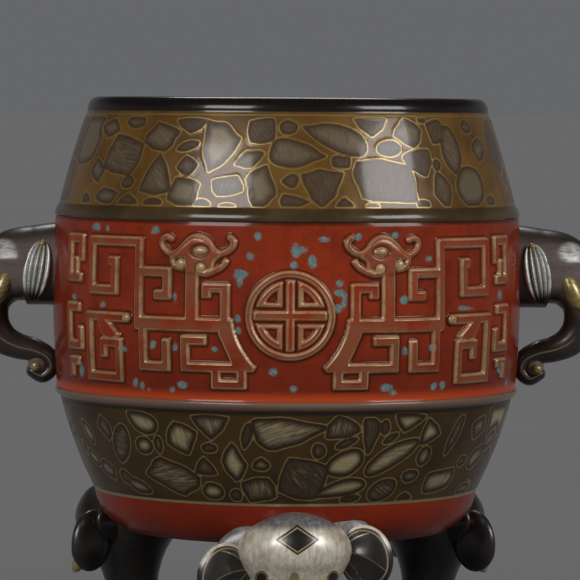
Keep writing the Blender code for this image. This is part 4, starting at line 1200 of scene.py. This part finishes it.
def band_paint(tree, ground, stones, pale_share):
    """Place, patches, colour, gilt share, sheen and relief of a pebble band."""
    grey, dark, pale = stones
    place = place_of(tree)
    patch = cloud(place, 60.0, 4.0)
    own = field(tree, "pebble_place", "Vector")
    brushed = cloud(stretched(own, (0.16, 1.7, 37.0)), 1.0, 4.0, 0.65, 0.4)
    fine = cloud(stretched(own, (0.5, 4.6, 51.0)), 1.0, 3.0, 0.7, 0.2)
    edge = field(tree, "pebble") + (cloud(place, 700.0, 2.0) - 0.5) * 0.30
    fill = step(edge, 0.12, -0.12)
    bright = step(edge, -0.5, -2.9) * step(brushed * 0.75 + part_of(own, "Z") * 0.42, 0.38, 0.72)
    stone = layered(
        mixed(step(fine, 0.3, 0.7), dark, grey), (step(edge, -0.9, -0.1), dark), (bright * pale_share, pale))
    worn = step(cloud(place, 300.0, 3.0, 0.6), 0.25, 0.5)
    gilt = within(edge, 0.40, 0.74, 0.08) * (worn * 0.5 + 0.5)
    colour = mixed(fill, mixed(step(patch, 0.35, 0.68), *ground), stone)
    return place, patch, colour, gilt, fill * bright, cloud(place, 1300.0, 2.0) * 0.3 + fine * 0.4


def make_upper_material():
    made, tree, shader = new_material("upper_band_glaze", 0.38, 0.10, 0.15)
    place, patch, colour, gilt, sheen, relief = band_paint(tree, UPPER_BROWN, UPPER_PEBBLE, 0.30)
    height = part_of(place, "Z")
    gilt = gilt.most(within(height, *LIP_LINE, 0.00008))
    ridge = step(height, *UPPER_RIDGE_END)
    dark = ridge.most(step(height, *LIP_START))
    pewter = mixed(step(patch, 0.4, 0.6), *PEWTER)
    colour = layered(colour, (gilt, mixed(patch, *BAND_GOLD)), (dark, mixed(ridge, BLACK, pewter)))
    rough = number(dark, patch * 0.16 + 0.24, 0.24)
    finish_shader(shader, colour, rough, gilt.most(sheen * 0.3) * 0.6, relief)
    return made


def make_lower_material():
    made, tree, shader = new_material("lower_band_glaze", 0.34, 0.11, 0.15)
    place, patch, colour, gilt, sheen, relief = band_paint(tree, LOWER_BROWN, LOWER_PEBBLE, 0.85)
    height = part_of(place, "Z")
    base = step(height, BASE_LINE_HEIGHT + 0.0002, BASE_LINE_HEIGHT - 0.0002)
    red = layered(
        mixed(step(patch, 0.35, 0.7), BASE_RED, BASE_RED_SHADE),
        (turquoise_mask(tree, place) * 0.7, TURQUOISE),
        (step(height, UNDERSIDE_HEIGHT + 0.0006, UNDERSIDE_HEIGHT + 0.0002), UNDERSIDE_CLAY))
    line = within(height, BASE_LINE_HEIGHT, BASE_LINE_HEIGHT + 0.0009, 0.0001)
    # The lower ridge is a paler pewter than the upper one: its pewter with a painted highlight
    ridge = step(height, *LOWER_RIDGE_START)
    colour = layered(
        colour, (gilt, mixed(patch, *BAND_GOLD)), (base, red), (line, BASE_GOLD),
        # painted shade: a black line under the lower ridge
        (within(height, *LOWER_RIDGE_PAINTED_SHADE, 0.0003) * 0.7, BLACK), (ridge, LOWER_PEWTER_WITH_HIGHLIGHT))
    gilt = (gilt * step(base, 0.5, 0.4)).most(line)
    rough = number(ridge, patch * 0.16 + 0.26, 0.20)
    finish_shader(shader, colour, rough, gilt.most(sheen * 0.35) * 0.6, relief)
    return made


def make_inside_material():
    made, tree, shader = new_material("inside_glaze", 0.4, 0.15)
    place = place_of(tree)
    patch = cloud(place, 40.0, 4.0)
    brown = mixed(step(patch, 0.3, 0.7), *INSIDE_BROWN)
    colour = mixed(step(part_of(place, "Z"), *MOUTH_START), brown, BLACK)
    finish_shader(shader, colour, patch * 0.2 + 0.28, 0.0, cloud(place, 900.0, 2.0))
    return made


def make_handle_material():
    made, tree, shader = new_material("handle_glaze", 0.4, 0.20, 0.3)
    place = place_of(tree)
    part = field(tree, "part")
    along = field(tree, "along")
    front = field(tree, "front")
    patch = cloud(place, 70.0, 4.0)
    brushed = cloud(stretched(place, (260.0, 900.0, 1100.0)), 1.0, 3.0, 0.6, 0.3)
    dark = mixed(step(patch, 0.35, 0.7), *HANDLE_DARK)
    silver = mixed(step(brushed, 0.3, 0.7), *HANDLE_SILVER)
    cheek = step(along, 0.40, 0.28) * step(front, 0.88, 0.50) * step(front, -0.75, -0.35)
    # painted highlight: a silver patch on each handle's brow
    painted_highlight = step(oval(abs(part_of(place, "X")), part_of(place, "Z"), *HANDLE_PAINTED_HIGHLIGHT), 1.8, 0.1)
    line = within(abs(front), -1.0, 0.055, 0.04) * step(along, 0.44, 0.50) * step(part, 0.3, 0.2)
    flute = step((field(tree, "rib") * (5.0 * math.pi)).calc("COSINE"), -0.9, 0.2)
    # painted shade: the grooves between the flutes are darker
    leaf = layered(mixed(flute, LEAF_GROOVE_SHADE, silver), (step(field(tree, "rim"), -0.45, -0.85), dark))
    ear = within(part, EAR - 0.3, EAR + 0.3, 0.1)
    gilt = step(part, EAR + 0.5, GILT - 0.1)
    colour = layered(
        dark, (cheek, mixed(step(brushed, 0.1, 0.9), *HANDLE_MAUVE)),
        (painted_highlight * step(brushed, 0.10, 0.55), silver), (ear, leaf),
        (line * 0.30, mixed(patch, GOLD, GOLD_DARK)),
        (gilt, mixed(step(brushed, 0.3, 0.7), *HANDLE_OLIVE)))
    rough = number(ear.most(gilt), patch * 0.2 + 0.24, 0.36)
    finish_shader(shader, colour, rough, (gilt * 0.45).most(ear * 0.25), brushed)
    return made


def make_foot_material():
    made, tree, shader = new_material("foot_glaze", 0.5, 0.22)
    place = place_of(tree)
    part = field(tree, "part")
    side = field(tree, "side")
    front = field(tree, "front")
    rim = field(tree, "rim")
    along = field(tree, "along")
    # silver is 1 on the front foot; the back feet's dark paint in its place is partly painted shade
    silvered = field(tree, "silver")
    patch = cloud(place, 70.0, 4.0)
    brushed = cloud(stretched(place, (700.0, 500.0, 260.0)), 1.0, 4.0, 0.65, 0.5)
    rust = step(cloud(place, 120.0, 4.0, 0.6), 0.48, 0.66) * 0.55 * step(abs(side), 6.0, 14.0)
    blue_grey = mixed(step(brushed, 0.35, 0.65), *FOOT_BLUE_GREY)
    silver = layered(
        mixed(step(brushed, 0.3, 0.7), *FOOT_SILVER), (rust, FOOT_RUST),
        (step(front, CROWN_TOP - 4.2, CROWN_TOP - 0.8), blue_grey))
    limb = step(part, 0.3, 0.2)
    ear = within(part, EAR - 0.3, EAR + 0.3, 0.1)
    gilt = within(part, GILT - 0.3, GILT + 0.3, 0.1)
    gold = mixed(patch, GOLD, GOLD_DARK)
    lozenge = abs(side - LOZENGE[0]) / LOZENGE[2] + abs(front - LOZENGE[1]) / LOZENGE[3]
    for mark in FACE_MARKS:
        lozenge = lozenge.calc("MINIMUM", oval(side, front, *mark).calc("POWER", 0.5))
    marked = silvered * along * limb
    ribs = step(field(tree, "rib"), 0.13, 0.06) * step(rim, 0.84, 0.78)
    gilt_lines = (ribs * 0.4).most(within(rim, 0.83, 0.87, 0.02) * 0.6)
    # painted highlight: the upper edges of the front foot's ears are silver
    edge = step(rim, 0.90, 0.95) * step(front, 0.0, 0.3)
    colour = layered(
        mixed(step(patch, 0.35, 0.7), *FOOT_DARK), (limb * silvered, silver),
        (marked * step(oval(side, front, *BROW_SPOT), 1.15, 0.85), FOOT_SPOT),
        (marked * step(lozenge, 1.24, 1.16), BLACK),
        (marked * within(lozenge, 0.90, 1.03, 0.03) * 0.7, gold),
        (ear * step(along, -0.1, 0.1) * gilt_lines, gold), (edge * ear * silvered, silver),
        (within(part, SHAWL - 0.3, SHAWL + 0.3, 0.1) * silvered, blue_grey), (gilt, gold))
    metal = (gilt * 0.7).most(limb * silvered * 0.15)
    finish_shader(shader, colour, patch * 0.2 + 0.26, metal, brushed, 0.12)
    return made


# Stage

FLOOR_RADIUS = 400.0
FLOOR_LIGHT = 0.725
FLOOR_PAPER = ((0.50, 0.50, 0.51), (0.54, 0.54, 0.55))
SKY = ((0.133, 0.135, 0.141), (0.020, 0.020, 0.022))
BOX_DISTANCE = 1.2
BOX_SIZE = (0.56, 0.38)
BOXES = (
    ("softbox_left", -35.0, 24.0, 7.2), ("softbox_right", 55.0, 24.0, 7.2),
    ("softbox_back", 180.0, 50.0, 3.5))
LIGHT_TARGET = Vector((0.0, 0.0, 0.12))


def add_object(name, data):
    item = bpy.data.objects.new(name, data)
    bpy.context.scene.collection.objects.link(item)
    return item


def make_stage():
    mesh = bpy.data.meshes.new("floor")
    form = bmesh.new()
    bmesh.ops.create_circle(form, cap_ends=True, segments=96, radius=FLOOR_RADIUS)
    form.to_mesh(mesh)
    form.free()
    floor = add_object("floor", mesh)
    made, tree, shader = new_material("floor_paper", 0.0, 0.3)
    place = place_of(tree)
    tone = mixed(cloud(place, 3.0, 3.0), *FLOOR_PAPER)
    finish_shader(shader, tone, 0.9, 0.0, cloud(place, 400.0, 2.0), 0.02)
    mesh.materials.append(made)
    world = bpy.data.worlds.new("studio")
    world.use_nodes = True
    raised = part_of(place_of(world.node_tree, "Generated"), "Z")
    connect(mixed(step(raised, 0.14, 0.45), *SKY), world.node_tree.nodes["Background"].inputs["Color"])
    bpy.context.scene.world = world
    return floor


def lit_only(lamp, items):
    """Let a lamp light the given objects and no others."""
    group = bpy.data.collections.new(lamp.name + "_lights")
    for item in items:
        group.objects.link(item)
    lamp.light_linking.receiver_collection = group


def softbox(name, azimuth, elevation, power):
    """Area light aimed at the bowl; azimuth 0 is on the camera's side."""
    lamp = bpy.data.lights.new(name, "AREA")
    lamp.shape = "RECTANGLE"
    lamp.size, lamp.size_y = BOX_SIZE
    lamp.energy = power
    item = add_object(name, lamp)
    turn = math.radians(azimuth)
    lift = math.radians(elevation)
    way = Vector((math.sin(turn) * math.cos(lift), -math.cos(turn) * math.cos(lift), math.sin(lift)))
    item.location = LIGHT_TARGET + way * BOX_DISTANCE
    item.rotation_euler = (-way).to_track_quat("-Z", "Y").to_euler()
    lit_only(item, pieces)


def overhead(floor):
    """Wide even light for the floor alone."""
    lamp = bpy.data.lights.new("overhead", "SUN")
    lamp.angle = math.radians(110.0)
    lamp.energy = FLOOR_LIGHT
    lit_only(add_object("overhead", lamp), [floor])


def make_camera():
    lens = bpy.data.cameras.new("camera")
    lens.sensor_width = 36.0
    lens.lens = FOCAL_PIXELS / PICTURE * lens.sensor_width
    lens.clip_start = 0.05
    camera = add_object("camera", lens)
    across = CAMERA_DISTANCE * math.sin(CAMERA_AZIMUTH)
    camera.location = (across, -CAMERA_DISTANCE * math.cos(CAMERA_AZIMUTH), CAMERA_HEIGHT)
    pitch = (0.5 * PICTURE - HORIZON_ROW) / FOCAL_PIXELS
    yaw = -CAMERA_AZIMUTH + (0.5 * PICTURE - AXIS_COLUMN) / FOCAL_PIXELS
    way = Vector((math.sin(yaw) * math.cos(pitch), math.cos(yaw) * math.cos(pitch), -math.sin(pitch)))
    turn = way.to_track_quat("-Z", "Y").to_matrix() @ Matrix.Rotation(CAMERA_ROLL, 3, "Z")
    camera.rotation_euler = turn.to_euler()
    bpy.context.scene.camera = camera


panel_material = make_panel_material()
upper_material = make_upper_material()
lower_material = make_lower_material()
inside_material = make_inside_material()
handle_material = make_handle_material()
foot_material = make_foot_material()

pieces = [
    make_upper(), make_lower(), make_inside(),
    make_panel("panel_front", 0.0), make_panel("panel_back", math.pi),
    make_handle("handle_right", 0.0), make_handle("handle_left", math.pi),
    make_foot("foot_front", math.radians(270.0) + FOOT_TURN, FRONT_EAR_LIFT, 1.0),
    # partly painted shade: the back feet keep the dark glaze all over where the front foot is silvered
    make_foot("foot_back_right", math.radians(30.0) + FOOT_TURN, 0.0, 0.0),
    make_foot("foot_back_left", math.radians(150.0) + FOOT_TURN, 0.0, 0.0),
]
for piece in pieces:
    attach(piece, "root")
    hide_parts("censer")

overhead(make_stage())
make_camera()
for box in BOXES:
    softbox(*box)
bpy.context.scene.view_settings.view_transform = "Standard"
